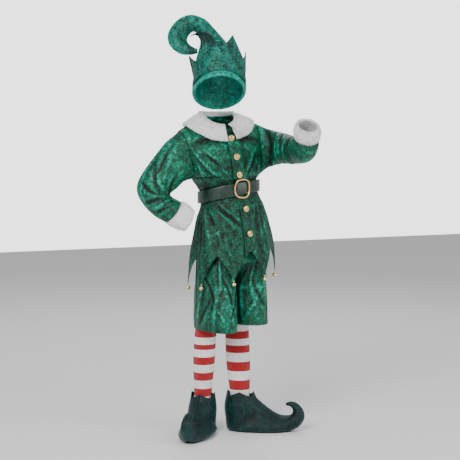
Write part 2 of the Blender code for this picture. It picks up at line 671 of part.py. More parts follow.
def make_buttons(tree):
    """Five round gilt buttons down the lap of the front."""
    profile = [(r * BUTTON_WIDTH, z * BUTTON_WIDTH) for r, z in BUTTON_PROFILE]
    for number, height in enumerate(BUTTON_HEIGHTS, 1):
        hit, away = hit_front(tree, 0, height)
        lift = 0.0065 if number == 1 else 0.0036
        turned_piece(f"button_{number}", profile, hit + away * lift, away, "gold_metal")


def make_bells():
    """A round bell on a short stalk at each point of the hem."""
    radius = BELL_WIDTH / 2
    rings = 6
    ball = []
    for k in range(rings + 1):
        turn = math.pi * k / rings
        ball.append((radius * math.sin(turn), radius * (1 - math.cos(turn)) / 1.0))
    ball[-1] = (0.0016, 2 * radius)
    profile = [(r, -2 * radius - 0.006 + z) for r, z in ball] + [(0.0016, -0.0005), (0, -0.0005)]
    for number in range(TABS):
        angle = 360 / TABS * (number + 0.5)
        angle = angle - 360 if angle > 180 else angle
        tip = Vector(body_points(angle, HEM - TAB_DROP, TAB_FLARE))
        inward = Vector((BODY[0][1], 0, tip.z)) - tip
        tip = tip + inward.normalized() * CLOTH / 2
        turned_piece(f"bell_{number + 1}", profile, tip, (0, 0, 1), "gold_metal", 7)


def make_belt():
    """The strap round the waist, and the ring buckle that lies on its front."""
    columns = 40
    angles = np.linspace(0, 360, columns, endpoint=False)
    heights = np.array([-0.5, 0.5])[:, None] * BELT_WIDTH
    inner = []
    for offset in heights[:, 0]:
        ring = body_points(angles, BELT_HEIGHT, BELT_LIFT)
        ring[:, 2] += offset
        inner.append(ring)
    inner = np.array(inner)
    normals = tube_normals(inner)
    wall("belt_strap", inner + normals * BELT_THICK, inner, True, "belt_leather")
    # the buckle: a rounded ring in the plane of the belt's front
    centre = body_points(0, BELT_HEIGHT, BELT_LIFT + BELT_THICK + 0.0040)
    curve = bpy.data.curves.new("buckle", "CURVE")
    curve.dimensions = "3D"
    curve.bevel_depth = 0.0030
    curve.bevel_resolution = 2
    path = curve.splines.new("POLY")
    count = 28
    path.points.add(count - 1)
    for k in range(count):
        t = math.tau * k / count
        x = 0.026 * math.copysign(abs(math.cos(t)) ** 0.75, math.cos(t))
        z = 0.0295 * math.copysign(abs(math.sin(t)) ** 0.75, math.sin(t))
        bow = 0.0036 - x * x / 0.19
        lean = 0.006 * max(0.0, z) / 0.031
        path.points[k].co = (centre[0] + x, centre[1] - bow + 0.0036 - lean, centre[2] + z, 1)
    path.use_cyclic_u = True
    curve.materials.append(material_of("gold_metal"))
    made = bpy.data.objects.new("buckle", curve)
    made.location = (0, 0, -SHOULDER_HEIGHT)
    bpy.context.scene.collection.objects.link(made)


KNICKER_PELVIS = (0.756, 0.700, 0.640, 0.575)
SADDLE_ROWS = (0.2, 0.4, 0.6, 0.8)
LEGS_MIDDLE = 0.0315


def knicker_grid(side, columns):
    """Half the knickers: from the waist round one hip, under to the crotch, and down the leg."""
    table = LEG_RIGHT if side < 0 else LEG_LEFT
    t = np.linspace(0, 1, columns)
    gap = SEAM * 0.7
    rows = []
    for height in KNICKER_PELVIS:
        lower = (KNICKER_PELVIS[0] - height) / (KNICKER_PELVIS[0] - KNICKER_PELVIS[-1])
        angle = side * (0.5 + 179.0 * t)
        ring = body_points(angle, np.full(columns, height), -KNICKERS_EASE - HIP_EASE[side] * lower, folded=False)
        ring[:, 2] = height
        ring[:, 0] += side * gap
        rows.append(ring)
    hip = rows[-1].copy()
    middle = spline(row_at(CROTCH, BODY), BODY)[1]
    leg_rows = np.linspace(0, len(table) - 1, 5)
    legs = []
    for at in leg_rows:
        up, across, toward, width, depth = spline(at, table)
        centre = from_limb(np.array([across, toward, up]))
        theta = np.radians(-90 + 0.2 + 359.6 * t)
        x = centre[0] + side * width * np.sin(theta)
        y = centre[1] - depth * np.cos(theta)
        wave = 0.0022 * np.sin(5 * theta + side) * np.sin(np.pi * t) * (at / (len(table) - 1))
        legs.append(np.stack([x + side * wave * np.sin(theta), y - wave * np.cos(theta), np.full(columns, up)], -1))
    for weight in SADDLE_ROWS:
        row = hip * (1 - weight) + legs[0] * weight
        inside = middle + (LEGS_MIDDLE - middle) * weight
        row[:, 0] = inside + side * np.maximum(side * (row[:, 0] - inside), gap)
        rows.append(row)
    for row in legs:
        row[:, 0] = LEGS_MIDDLE + side * np.maximum(side * (row[:, 0] - LEGS_MIDDLE), gap)
        rows.append(row)
    return np.array(rows)


def make_knickers():
    """Two halves, each a hip and a leg, and the waistband that they hang from."""
    for side, name in ((-1, "knickers_right"), (1, "knickers_left")):
        grid = knicker_grid(side, 19)
        along = np.gradient(grid, axis=1)
        normals = np.stack([along[..., 1], -along[..., 0], np.zeros(along.shape[:2])], -1)
        normals /= np.linalg.norm(normals, axis=-1, keepdims=True)
        if normals[1, 9, 0] * side < 0:
            normals = -normals
        wall(name, grid, grid - normals * 0.0024, False, "velvet")
    angles = np.linspace(0, 360, 32, endpoint=False)
    band = np.array([body_points(angles, h, -KNICKERS_EASE, folded=False) for h in (0.7575, 0.790)])
    band[0, :, 2], band[1, :, 2] = 0.7575, 0.790
    normals = tube_normals(band)
    wall("knickers_waistband", band, band - normals * 0.003, True, "velvet")


def foot_frame(side, points):
    """Shoe axes (forward, sideways, up) set at the ankle and turned with the foot."""
    (across, toward), turn = SHOES[side]
    forward, sideways, up = points[..., 0], points[..., 1], points[..., 2]
    c, s = math.cos(turn), math.sin(turn)
    return from_limb(np.stack([
        across + forward * c - sideways * s,
        toward + forward * s + sideways * c,
        up,
    ], -1))


def shoe_half(side, hand, rows, columns):
    """One side of a shoe: from the top seam over the side to the sole's edge, ring by ring."""
    values = spline(np.linspace(0, len(SHOE) - 1, rows), SHOE)
    tf, tu, lf, lu, width, edge = values.T
    v = np.linspace(0, 1, columns)
    fall = (1 - np.cos(np.pi * v)) / 2
    forward = tf[:, None] + (lf - tf)[:, None] * fall
    up = tu[:, None] + (lu - tu)[:, None] * fall
    out = (width - 0.35 * edge)[:, None] * np.sin(np.pi * v) + np.maximum(edge, 0)[:, None] * fall
    out = np.maximum(out, 0) + SEAM
    notch = SHOE_NOTCH_DEPTH * np.abs((v * SHOE_NOTCHES) % 2 - 1)
    up[0] += notch
    up = np.maximum(up, SOLE_THICK + 0.0006)
    return np.stack([forward, hand * out, up], -1)


def make_shoe(side):
    """Two side panels sewn over the top and heel, on a flat sole."""
    for hand, label in ((1, "outer"), (-1, "inner")):
        mirror = hand if side == "left" else -hand
        shape = shoe_half(side, mirror, 19, 9)
        normals = grid_normals(shape, False)
        if np.sum(normals[..., 1] * mirror) < 0:
            normals = -normals
        normals[0] = normals[1]
        inner = shape - normals * CLOTH
        inner[..., 1] = mirror * np.maximum(mirror * inner[..., 1], SEAM)
        wall(f"shoe_{side}_{label}", foot_frame(side, shape), foot_frame(side, inner), False, "shoe_velvet")
    at = np.linspace(3.2, 8.2, 13)
    values = spline(at, SHOE)
    forward, edge = values[:, 2], np.maximum(values[:, 5], 0.004)
    outline = [(f, e) for f, e in zip(forward, edge)] + [(f, -e) for f, e in zip(forward[::-1], edge[::-1])]
    bm = bmesh.new()
    base = foot_frame(side, np.array([(f, e, 0.0) for f, e in outline]))
    face = bm.faces.new([bm.verts.new(p) for p in base])
    made = bmesh.ops.extrude_face_region(bm, geom=[face])
    top = [g for g in made["geom"] if isinstance(g, bmesh.types.BMVert)]
    bmesh.ops.translate(bm, vec=(0, 0, SOLE_THICK), verts=top)
    bmesh.ops.recalc_face_normals(bm, faces=bm.faces)
    mesh = bpy.data.meshes.new(f"shoe_{side}_sole")
    bm.to_mesh(mesh)
    bm.free()
    place(f"shoe_{side}_sole", mesh, "shoe_velvet")


# The stocking's foot in the shoe's axes: instep point, heel or sole point, half width.
FOOT = np.array([
    (0.036, 0.084, -0.044, 0.060, 0.028),
    (0.052, 0.072, -0.042, 0.022, 0.027),
    (0.068, 0.060, -0.006, 0.010, 0.028),
    (0.088, 0.048, 0.050, 0.010, 0.028),
    (0.104, 0.040, 0.094, 0.010, 0.024),
    (0.116, 0.030, 0.114, 0.016, 0.012),
])


def make_stocking(side, table):
    """A knitted tube down the leg and round the foot, closed at the toe."""
    columns = 12
    turn = np.linspace(0, 2 * math.pi, columns, endpoint=False)
    (ax, ay), heading = SHOES[side]
    rings = []
    for at in np.linspace(0, len(table) - 1, 9):
        across, toward, up, width, depth = spline(at, table)
        along, wide = np.cos(turn) * depth, np.sin(turn) * width
        c, s = math.cos(heading), math.sin(heading)
        share = at / (len(table) - 1)
        x = across + along * c - wide * s
        y = toward + along * s + wide * c
        rings.append(from_limb(np.stack([x, y, np.full(columns, up)], -1)))
    for tf, tu, lf, lu, width in FOOT:
        middle = np.array([(tf + lf) / 2, 0, (tu + lu) / 2])
        half = np.array([(tf - lf) / 2, 0, (tu - lu) / 2])
        ring = middle + np.cos(turn)[:, None] * half + np.sin(turn)[:, None] * np.array([0, width, 0])
        rings.append(foot_frame(side, ring))
    tube = np.array(rings)
    normals = tube_normals(tube)
    inner = tube - normals * CLOTH
    name = f"stocking_{side}"
    made = wall(name, tube, inner, True, "stocking_knit")
    return made


def make_hat():
    """Front and back of the crown and its curl, the turned-up band with its points, and the rolled rim."""
    rows, columns = 23, 18
    tube, psi = ring_tube(HAT, rows, columns)
    normals = tube_normals(tube)
    inner = tube - normals * FOAM
    half = columns // 2
    for name, first in (("hat_front", 0), ("hat_back", half)):
        take = [(first + k) % columns for k in range(half + 1)]
        outer_half, inner_half = tube[:, take].copy(), inner[:, take].copy()
        nudge = (from_limb(np.array([0, 1.0, 0])) - from_limb(np.zeros(3))) * (1 if first == 0 else -1) * 0.0004
        outer_half += nudge
        inner_half += nudge
        wall(name, outer_half, inner_half, False, "velvet")
    turns = 36
    ring, psi = ring_tube(HAT[:3], 3, turns)
    middle = ring.mean(1, keepdims=True)
    spoke = ring - middle
    spoke /= np.linalg.norm(spoke, axis=-1, keepdims=True)
    up = ring[1] - ring[0]
    up /= np.linalg.norm(up, axis=-1, keepdims=True)
    step = 360 / BAND_POINTS
    # a notch of the band sits at the wearer's brow
    off = np.abs(((np.degrees(psi) - 90) % step) - step / 2) / (step / 2)
    point = POINT_HEIGHT * (1 - off) ** 1.2
    rows_up = np.linspace(0, 1, 5)[:, None]
    lift = rows_up * (BAND_HEIGHT + point)[None] * 1.0 + 0.004
    bend = 0.16 - 0.16 * np.cos(psi)
    flare = 0.0065 + 0.008 * rows_up**2 + (bend * point)[None] * rows_up**4 + 0.010 * np.maximum(0, -np.sin(psi)) * rows_up**2
    band = ring[0][None] + up[None] * lift[..., None] + spoke[0][None] * flare[..., None]
    normals = tube_normals(band)
    wall("hat_band", band, band - normals * FOAM, True, "velvet")
    rim = ring[0] - up * 0.0080 - spoke[0] * 0.0005
    curve = bpy.data.curves.new("hat_rim_roll", "CURVE")
    curve.dimensions = "3D"
    curve.bevel_depth = 0.0060
    curve.bevel_resolution = 1
    path = curve.splines.new("POLY")
    path.points.add(turns - 1)
    for k, p in enumerate(rim):
        path.points[k].co = (*p, 1)
    path.use_cyclic_u = True
    curve.materials.append(material_of("velvet"))
    made = bpy.data.objects.new("hat_rim_roll", curve)
    made.location = (0, 0, -SHOULDER_HEIGHT)
    bpy.context.scene.collection.objects.link(made)


def main():
    for old in list(bpy.data.objects):
        bpy.data.objects.remove(old)
    sheets = make_tunic()
    tree = body_tree(sheets)
    for side in (-1, 1):
        make_sleeve(side)
        make_cuff(side)
    make_collar(tree)
    make_buttons(tree)
    make_bells()
    make_belt()
    make_knickers()
    make_stocking("right", STOCKING_RIGHT)
    make_stocking("left", STOCKING_LEFT)
    make_shoe("right")
    make_shoe("left")
    make_hat()


main()
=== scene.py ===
"""Child's elf costume as worn: crushed velvet tunic, knickers and curled hat, plush collar and cuffs,
patent belt, gilt buttons and bells, striped stockings and curled velvet shoes, on a pale studio floor.

Metres, +Z up. The tunic's front faces -Y and the wearer's left is +X. Shapes are worked out with heights
above the shoe soles, and every mesh is then lowered so that the base of the neck is the origin."""

import math

import bmesh
import bpy
import numpy as np
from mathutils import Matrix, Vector
from mathutils.bvhtree import BVHTree


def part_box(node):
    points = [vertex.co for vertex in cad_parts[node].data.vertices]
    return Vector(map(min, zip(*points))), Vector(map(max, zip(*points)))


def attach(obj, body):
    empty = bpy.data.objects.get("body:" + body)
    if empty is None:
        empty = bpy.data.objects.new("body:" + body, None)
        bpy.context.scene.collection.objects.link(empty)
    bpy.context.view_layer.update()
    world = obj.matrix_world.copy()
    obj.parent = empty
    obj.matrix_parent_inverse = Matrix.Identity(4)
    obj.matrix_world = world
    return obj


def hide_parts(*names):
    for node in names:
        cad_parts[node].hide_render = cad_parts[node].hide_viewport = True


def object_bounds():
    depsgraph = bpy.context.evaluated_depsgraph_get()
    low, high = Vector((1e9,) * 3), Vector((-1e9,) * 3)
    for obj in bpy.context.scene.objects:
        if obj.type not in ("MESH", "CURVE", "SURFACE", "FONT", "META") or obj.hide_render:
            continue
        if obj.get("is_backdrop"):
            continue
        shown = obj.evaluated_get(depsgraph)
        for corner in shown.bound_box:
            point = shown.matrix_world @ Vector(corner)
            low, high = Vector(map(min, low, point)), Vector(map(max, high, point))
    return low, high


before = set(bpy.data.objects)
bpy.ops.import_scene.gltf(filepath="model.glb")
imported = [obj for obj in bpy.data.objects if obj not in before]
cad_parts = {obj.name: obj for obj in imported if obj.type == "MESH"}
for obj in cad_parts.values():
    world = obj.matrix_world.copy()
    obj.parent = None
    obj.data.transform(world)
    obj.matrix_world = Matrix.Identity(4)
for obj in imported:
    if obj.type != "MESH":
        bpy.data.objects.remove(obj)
CAD_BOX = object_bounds()

bl_info = {
    "name": "Elf Costume",
    "version": (1, 0, 0),
    "blender": (4, 5, 0),
    "location": "View3D > Sidebar > Costume",
    "description": "Builds a child's elf costume and the studio it is shown in",
    "category": "Add Mesh",
}

# Driving dimensions
SHOULDER_HEIGHT = 1.030
CLOTH = 0.0020
PLUSH = 0.0060
FOAM = 0.0030
SEAM = 0.0003
LIMB_TURN = math.radians(27)
BELT_HEIGHT = 0.800
BELT_WIDTH = 0.040
BELT_THICK = 0.0022
BELT_LIFT = 0.0066
BELT_TILT_SIDE = 0.017
BELT_TILT_FRONT = 0.012
UNDERARM = 0.845
NECK_FRONT = 0.998
TABS = 8
TAB_DROP = 0.082
TAB_FLARE = 0.009
HEM = 0.596
OVERLAP = 0.018
LAP_EASE = 0.0025
BUTTON_WIDTH = 0.021
BELL_WIDTH = 0.015

# The body of the tunic, row by row: nominal height, middle, half widths and half depths.
BODY_COLUMNS = ("height", "middle", "right", "left", "front", "back")
BODY = np.array([
    (0.500, 0.056, 0.142, 0.135, 0.130, 0.124),
    (0.596, 0.058, 0.140, 0.139, 0.121, 0.117),
    (0.665, 0.058, 0.131, 0.129, 0.112, 0.108),
    (0.740, 0.052, 0.113, 0.109, 0.098, 0.096),
    (0.776, 0.046, 0.099, 0.097, 0.086, 0.084),
    (0.800, 0.044, 0.098, 0.096, 0.085, 0.083),
    (0.824, 0.041, 0.099, 0.096, 0.086, 0.084),
    (0.845, 0.033, 0.119, 0.107, 0.091, 0.093),
    (0.880, 0.026, 0.120, 0.112, 0.095, 0.095),
    (0.925, 0.017, 0.118, 0.113, 0.095, 0.092),
    (0.965, 0.010, 0.110, 0.108, 0.084, 0.085),
    (0.998, 0.004, 0.100, 0.100, 0.062, 0.076),
])

# Folds of the tunic's body: degrees from the front, height, slant, length, width, depth.
FOLD_COLUMNS = ("angle", "height", "slant", "length", "width", "depth")
BODY_FOLDS = np.array([
    (-38, 0.700, -35, 0.075, 0.014, 0.0050),
    (-24, 0.665, -35, 0.060, 0.013, -0.0045),
    (-58, 0.640, -8, 0.075, 0.016, 0.0060),
    (-5, 0.640, 5, 0.080, 0.018, 0.0045),
    (30, 0.650, 4, 0.085, 0.018, 0.0060),
    (58, 0.640, 8, 0.085, 0.018, -0.0050),
    (88, 0.630, 4, 0.090, 0.020, 0.0060),
    (125, 0.640, 0, 0.085, 0.020, -0.0050),
    (155, 0.640, 4, 0.090, 0.020, 0.0060),
    (-150, 0.640, -4, 0.090, 0.020, -0.0050),
    (-115, 0.640, -4, 0.090, 0.020, 0.0060),
    (-88, 0.630, -4, 0.080, 0.018, -0.0045),
    (-60, 0.850, -30, 0.045, 0.013, 0.0050),
    (-30, 0.845, -25, 0.045, 0.012, 0.0035),
    (25, 0.850, 20, 0.045, 0.012, 0.0035),
    (55, 0.855, 25, 0.040, 0.012, 0.0040),
    (140, 0.850, 10, 0.045, 0.014, 0.0045),
    (-140, 0.850, -10, 0.045, 0.014, 0.0045),
])

# Rings of tubes, in the limb axes (across, toward the viewer's quarter, up): two opposite points of the
# ring, then the half vector square to the line between them.
RING_COLUMNS = ("a_across", "a_toward", "a_up", "b_across", "b_toward", "b_up", "c_across", "c_toward", "c_up")
SLEEVE_RIGHT = np.array([
    (-0.142, 0.050, 0.994, -0.100, 0.058, 0.842, 0.020, 0.054, 0.000),
    (-0.176, 0.054, 0.950, -0.110, 0.064, 0.832, 0.006, 0.060, 0.002),
    (-0.218, 0.060, 0.895, -0.130, 0.068, 0.812, 0.002, 0.058, 0.002),
    (-0.252, 0.066, 0.842, -0.146, 0.070, 0.800, 0.004, 0.056, 0.000),
    (-0.258, 0.072, 0.800, -0.150, 0.074, 0.792, 0.006, 0.053, -0.002),
    (-0.234, 0.080, 0.756, -0.140, 0.078, 0.783, 0.008, 0.050, -0.004),
    (-0.200, 0.088, 0.724, -0.128, 0.084, 0.777, 0.010, 0.045, -0.004),
    (-0.166, 0.096, 0.705, -0.117, 0.092, 0.771, 0.010, 0.038, -0.004),
])
SLEEVE_LEFT = np.array([
    (0.136, -0.058, 1.014, 0.138, -0.056, 0.862, 0.024, 0.047, 0.000),
    (0.180, -0.034, 1.003, 0.178, -0.034, 0.882, 0.002, 0.052, 0.000),
    (0.220, 0.010, 0.992, 0.218, 0.010, 0.891, -0.030, 0.044, 0.002),
    (0.254, 0.055, 0.981, 0.260, 0.062, 0.892, -0.036, 0.034, 0.004),
    (0.270, 0.096, 0.982, 0.280, 0.130, 0.898, -0.041, 0.016, 0.002),
    (0.278, 0.120, 0.990, 0.286, 0.170, 0.922, -0.042, 0.006, 0.000),
    (0.280, 0.138, 1.000, 0.288, 0.188, 0.950, -0.039, 0.004, 0.002),
])
CUFF_RIGHT = np.array([
    (-0.1640, 0.0970, 0.7036, -0.1150, 0.0930, 0.7706, 0.010, 0.039, -0.004),
    (-0.138, 0.102, 0.690, -0.096, 0.100, 0.761, 0.010, 0.039, -0.003),
    (-0.104, 0.110, 0.678, -0.072, 0.108, 0.742, 0.008, 0.035, -0.002),
])
CUFF_LEFT = np.array([
    (0.2802, 0.1386, 1.0006, 0.2882, 0.1886, 0.9506, -0.039, 0.004, 0.002),
    (0.281, 0.156, 1.018, 0.289, 0.205, 0.970, -0.039, 0.004, 0.002),
    (0.282, 0.176, 1.036, 0.290, 0.220, 0.992, -0.036, 0.004, 0.002),
])
STOCKING_COLUMNS = ("across", "toward", "up", "half_width", "half_depth")
STOCKING_RIGHT = np.array([
    (-0.024, 0.030, 0.410, 0.031, 0.038),
    (-0.037, 0.020, 0.340, 0.035, 0.039),
    (-0.043, 0.018, 0.240, 0.035, 0.040),
    (-0.046, 0.012, 0.160, 0.030, 0.034),
    (-0.048, 0.010, 0.105, 0.028, 0.031),
])
STOCKING_LEFT = np.array([
    (0.076, -0.046, 0.410, 0.030, 0.038),
    (0.067, -0.046, 0.340, 0.036, 0.039),
    (0.070, -0.034, 0.240, 0.036, 0.040),
    (0.074, -0.022, 0.160, 0.032, 0.035),
    (0.077, -0.020, 0.105, 0.030, 0.031),
])
# The shoe in its own axes, forward from the ankle and up: upper line, lower line, half width, half width
# of the lower edge.
SHOE_COLUMNS = ("top_forward", "top_up", "low_forward", "low_up", "half_width", "edge")
SHOE = np.array([
    (0.042, 0.118, -0.046, 0.122, 0.039, 0.0000),
    (0.056, 0.106, -0.056, 0.086, 0.044, 0.0000),
    (0.072, 0.092, -0.052, 0.040, 0.046, 0.0000),
    (0.086, 0.081, -0.044, 0.004, 0.044, 0.0060),
    (0.100, 0.071, -0.010, 0.004, 0.045, 0.0300),
    (0.116, 0.061, 0.036, 0.004, 0.045, 0.0370),
    (0.134, 0.054, 0.082, 0.004, 0.043, 0.0380),
    (0.150, 0.053, 0.124, 0.004, 0.038, 0.0320),
    (0.162, 0.054, 0.160, 0.004, 0.032, 0.0160),
    (0.169, 0.058, 0.192, 0.014, 0.026, 0.0000),
    (0.173, 0.066, 0.212, 0.042, 0.022, 0.0000),
    (0.171, 0.077, 0.208, 0.072, 0.018, 0.0000),
    (0.163, 0.084, 0.188, 0.094, 0.014, 0.0000),
    (0.154, 0.086, 0.168, 0.100, 0.009, 0.0000),
    (0.148, 0.088, 0.152, 0.096, 0.005, 0.0000),
])
SHOE_NOTCHES = 4
SHOE_NOTCH_DEPTH = 0.015
SOLE_THICK = 0.0035
SHOES = {
    "right": ((-0.047, 0.006), math.radians(104)),
    "left": ((0.080, -0.020), math.radians(6)),
}

# Knickers' legs: height, the leg's middle across and toward, half width, half depth.
LEG_COLUMNS = ("up", "across", "toward", "half_width", "half_depth")
LEG_RIGHT = np.array([
    (0.490, -0.006, 0.032, 0.054, 0.098),
    (0.440, -0.006, 0.040, 0.056, 0.107),
    (0.395, -0.006, 0.045, 0.058, 0.112),
    (0.350, -0.005, 0.046, 0.057, 0.112),
])
LEG_LEFT = np.array([
    (0.490, 0.096, -0.024, 0.059, 0.094),
    (0.440, 0.096, -0.021, 0.061, 0.097),
    (0.400, 0.096, -0.020, 0.062, 0.099),
    (0.366, 0.096, -0.020, 0.063, 0.100),
])
CROTCH = 0.520
KNICKERS_EASE = 0.012
HIP_EASE = {-1: 0.004, 1: 0.018}

# Hat: rings from the rim over the crown and round the curl, in the limb axes.
HAT = np.array([
    (0.090, 0.010, 1.140, -0.075, 0.010, 1.130, 0.000, 0.096, 0.050),
    (0.087, 0.008, 1.172, -0.070, 0.008, 1.168, 0.000, 0.092, 0.042),
    (0.077, 0.006, 1.216, -0.060, 0.004, 1.216, 0.000, 0.080, 0.026),
    (0.060, 0.004, 1.250, -0.040, 0.002, 1.258, 0.000, 0.058, 0.012),
    (0.040, 0.000, 1.277, -0.020, 0.000, 1.268, 0.000, 0.040, 0.004),
    (0.016, 0.000, 1.305, -0.034, 0.000, 1.284, 0.000, 0.030, 0.000),
    (-0.012, 0.000, 1.336, -0.048, 0.000, 1.304, 0.000, 0.026, 0.000),
    (-0.040, 0.000, 1.363, -0.064, 0.000, 1.317, 0.000, 0.025, 0.000),
    (-0.085, 0.000, 1.377, -0.078, 0.000, 1.321, 0.000, 0.025, 0.000),
    (-0.128, 0.000, 1.360, -0.089, 0.000, 1.313, 0.000, 0.025, 0.000),
    (-0.158, 0.012, 1.318, -0.096, 0.012, 1.299, 0.000, 0.024, 0.000),
    (-0.154, 0.026, 1.277, -0.095, 0.026, 1.287, 0.000, 0.020, 0.000),
    (-0.122, 0.038, 1.248, -0.086, 0.038, 1.275, 0.000, 0.014, 0.000),
    (-0.086, 0.044, 1.243, -0.073, 0.044, 1.267, 0.000, 0.009, 0.000),
    (-0.062, 0.046, 1.248, -0.062, 0.046, 1.263, 0.000, 0.005, 0.000),
])
BAND_POINTS = 6
BAND_HEIGHT = 0.060
POINT_HEIGHT = 0.052


def spline(at, table):
    """A smooth curve through the table's rows (Catmull-Rom), read at fractional row numbers."""
    at = np.clip(np.asarray(at, float), 0, len(table) - 1)
    first = np.minimum(at.astype(int), len(table) - 2)
    t = (at - first)[..., None]
    padded = np.vstack([2 * table[0] - table[1], table, 2 * table[-1] - table[-2]])
    p0, p1, p2, p3 = (padded[first + k] for k in range(4))
    return 0.5 * (2 * p1 + (p2 - p0) * t + (2 * p0 - 5 * p1 + 4 * p2 - p3) * t**2 + (3 * p1 - p0 - 3 * p2 + p3) * t**3)


def row_at(height, table):
    """The fractional row number of a nominal height, in a table whose first column rises or falls."""
    heights = table[:, 0]
    rows = np.arange(len(table))
    if heights[0] > heights[-1]:
        return np.interp(height, heights[::-1], rows[::-1])
    return np.interp(height, heights, rows)


def from_limb(points):
    """Limb axes (across, toward, up) turned into the costume's own X, Y and Z."""
    across, toward, up = points[..., 0], points[..., 1], points[..., 2]
    c, s = math.cos(LIMB_TURN), math.sin(LIMB_TURN)
    return np.stack([across * c - toward * s, -across * s - toward * c, up], -1)


def grid_normals(points, closed):
    """Unit normals of a grid of points, from its row and column differences; closed wraps the columns."""
    if closed:
        along = np.roll(points, -1, 1) - np.roll(points, 1, 1)
    else:
        along = np.gradient(points, axis=1)
    normals = np.cross(along, np.gradient(points, axis=0))
    return normals / np.maximum(np.linalg.norm(normals, axis=-1, keepdims=True), 1e-12)


def fold_depth(angle, height, folds, reach):
    """The sum of soft ridges and troughs at each angle (degrees) and height; reach is metres per degree."""
    total = np.zeros_like(angle)
    for centre, level, slant, length, width, depth in folds:
        turn = (angle - centre + 180) % 360 - 180
        sideways, upward = turn * reach, height - level
        s, c = math.sin(math.radians(slant)), math.cos(math.radians(slant))
        across = sideways * c - upward * s
        along = sideways * s + upward * c
        total += depth * np.exp(-((across / width) ** 2) - (along / length) ** 2)
    held = np.clip((np.abs(height - BELT_HEIGHT) - 0.024) / 0.040, 0, 1)
    middle = np.clip((np.abs(angle) - 6) / 18, 0, 1)
    return total * held * middle


def belt_rise(angle):
    """How far the waist line lies above its nominal height at an angle from the front, in degrees."""
    a = np.radians(angle)
    return BELT_TILT_SIDE * np.sin(a) + BELT_TILT_FRONT * np.cos(a)


def body_points(angle, height, lift=0.0, folded=True):
    """Points of the tunic's body at angles from the front (degrees, wearer's left positive)."""
    angle, height = np.broadcast_arrays(np.asarray(angle, float), np.asarray(height, float))
    _, middle, right, left, front, back = np.moveaxis(spline(row_at(height, BODY), BODY), -1, 0)
    a = np.radians(angle)
    half_width = np.where(np.sin(a) > 0, left, right)
    half_depth = np.where(np.cos(a) > 0, front, back)
    folds = fold_depth(angle, height, BODY_FOLDS, 0.0019) if folded else 0.0
    out = 1 + (lift + folds) / np.hypot(half_width * np.sin(a), half_depth * np.cos(a))
    share = np.clip((UNDERARM - height) / (UNDERARM - 0.826), 0, 1)
    x = middle + half_width * np.sin(a) * out
    y = -half_depth * np.cos(a) * out
    return np.stack([x, y, height + belt_rise(angle) * share], -1)


def tab_drop(angle):
    """How far the hem hangs below its notches: eight points, each with hollow sides."""
    step = 360 / TABS
    off = np.abs((angle % step) - step / 2) / (step / 2)
    return TAB_DROP * (1 - off) ** 1.3


# Skirt rows below the underarm, as nominal heights, hem first.
SKIRT_ROWS = (0.596, 0.622, 0.655, 0.690, 0.730, 0.758, 0.776, 0.800, 0.824, UNDERARM)
# Armhole rows: share of the way up the armhole from the underarm to the shoulder.
ARMHOLE_ROWS = (0.13, 0.28, 0.43, 0.58, 0.73, 0.87, 1.0)
SHOULDER = {1: (0.133, -0.004, 1.026), -1: (-0.128, 0.006, 1.000)}
NECK_SIDE = {1: (0.052, 0.004, 1.050), -1: (-0.050, 0.006, 1.045)}
NECK_BACK = (0.000, 0.052, 1.048)
ARMHOLE_FRONT = 0.052
ARMHOLE_BACK = 0.050
ARMHOLE_BOW = {-1: 0.012, 1: -0.004}


def armhole_point(side, share, front):
    """A point of the armhole's edge: from the underarm (share 0) to the shoulder (share 1)."""
    low = body_points(90.0 * side, UNDERARM, folded=False)
    high = np.array(SHOULDER[side])
    turn = math.pi * share
    reach = -ARMHOLE_FRONT if front else ARMHOLE_BACK
    blend = (1 - math.cos(turn)) / 2
    point = low + (high - low) * blend
    point[0] += side * ARMHOLE_BOW[side] * math.sin(turn)
    point[1] += reach * math.sin(turn)
    return point


def inner_point(side, share, front, over):
    """A point of the inner edge above the underarm: up the front or back, then along the neckline."""
    climb = 0.62 if front else 0.90
    neck = NECK_FRONT if front else NECK_BACK[2]
    neck_y = -0.0600 if front else NECK_BACK[1]
    if share <= climb:
        height = UNDERARM + (neck - UNDERARM) * share / climb
        x, y = body_edge(side, height, front, over)
        top_x, top_y = body_edge(side, NECK_FRONT, front, over)
        if not front and height > NECK_FRONT:
            x, y = top_x, neck_y + (top_y - neck_y) * (neck - height) / (neck - NECK_FRONT)
        return np.array([x, y, height])
    start = inner_point(side, climb, front, over)
    end = np.array(NECK_SIDE[side])
    turn = (share - climb) / (1 - climb) * math.pi / 2
    return np.array([
        start[0] + (end[0] - start[0]) * math.sin(turn),
        end[1] + (start[1] - end[1]) * math.cos(turn),
        start[2] + (end[2] - start[2]) * (1 - math.cos(turn)),
    ])


def body_edge(side, height, front, over):
    """Plan position of the front or back edge at a height; over is how far it passes the middle."""
    _, middle, right, left, fore, aft = spline(row_at(height, BODY), BODY)
    width, depth = (left if side > 0 else right), (fore if front else aft)
    run = math.sqrt(1 - (over / width) ** 2)
    return middle - side * over, (-depth if front else depth) * run


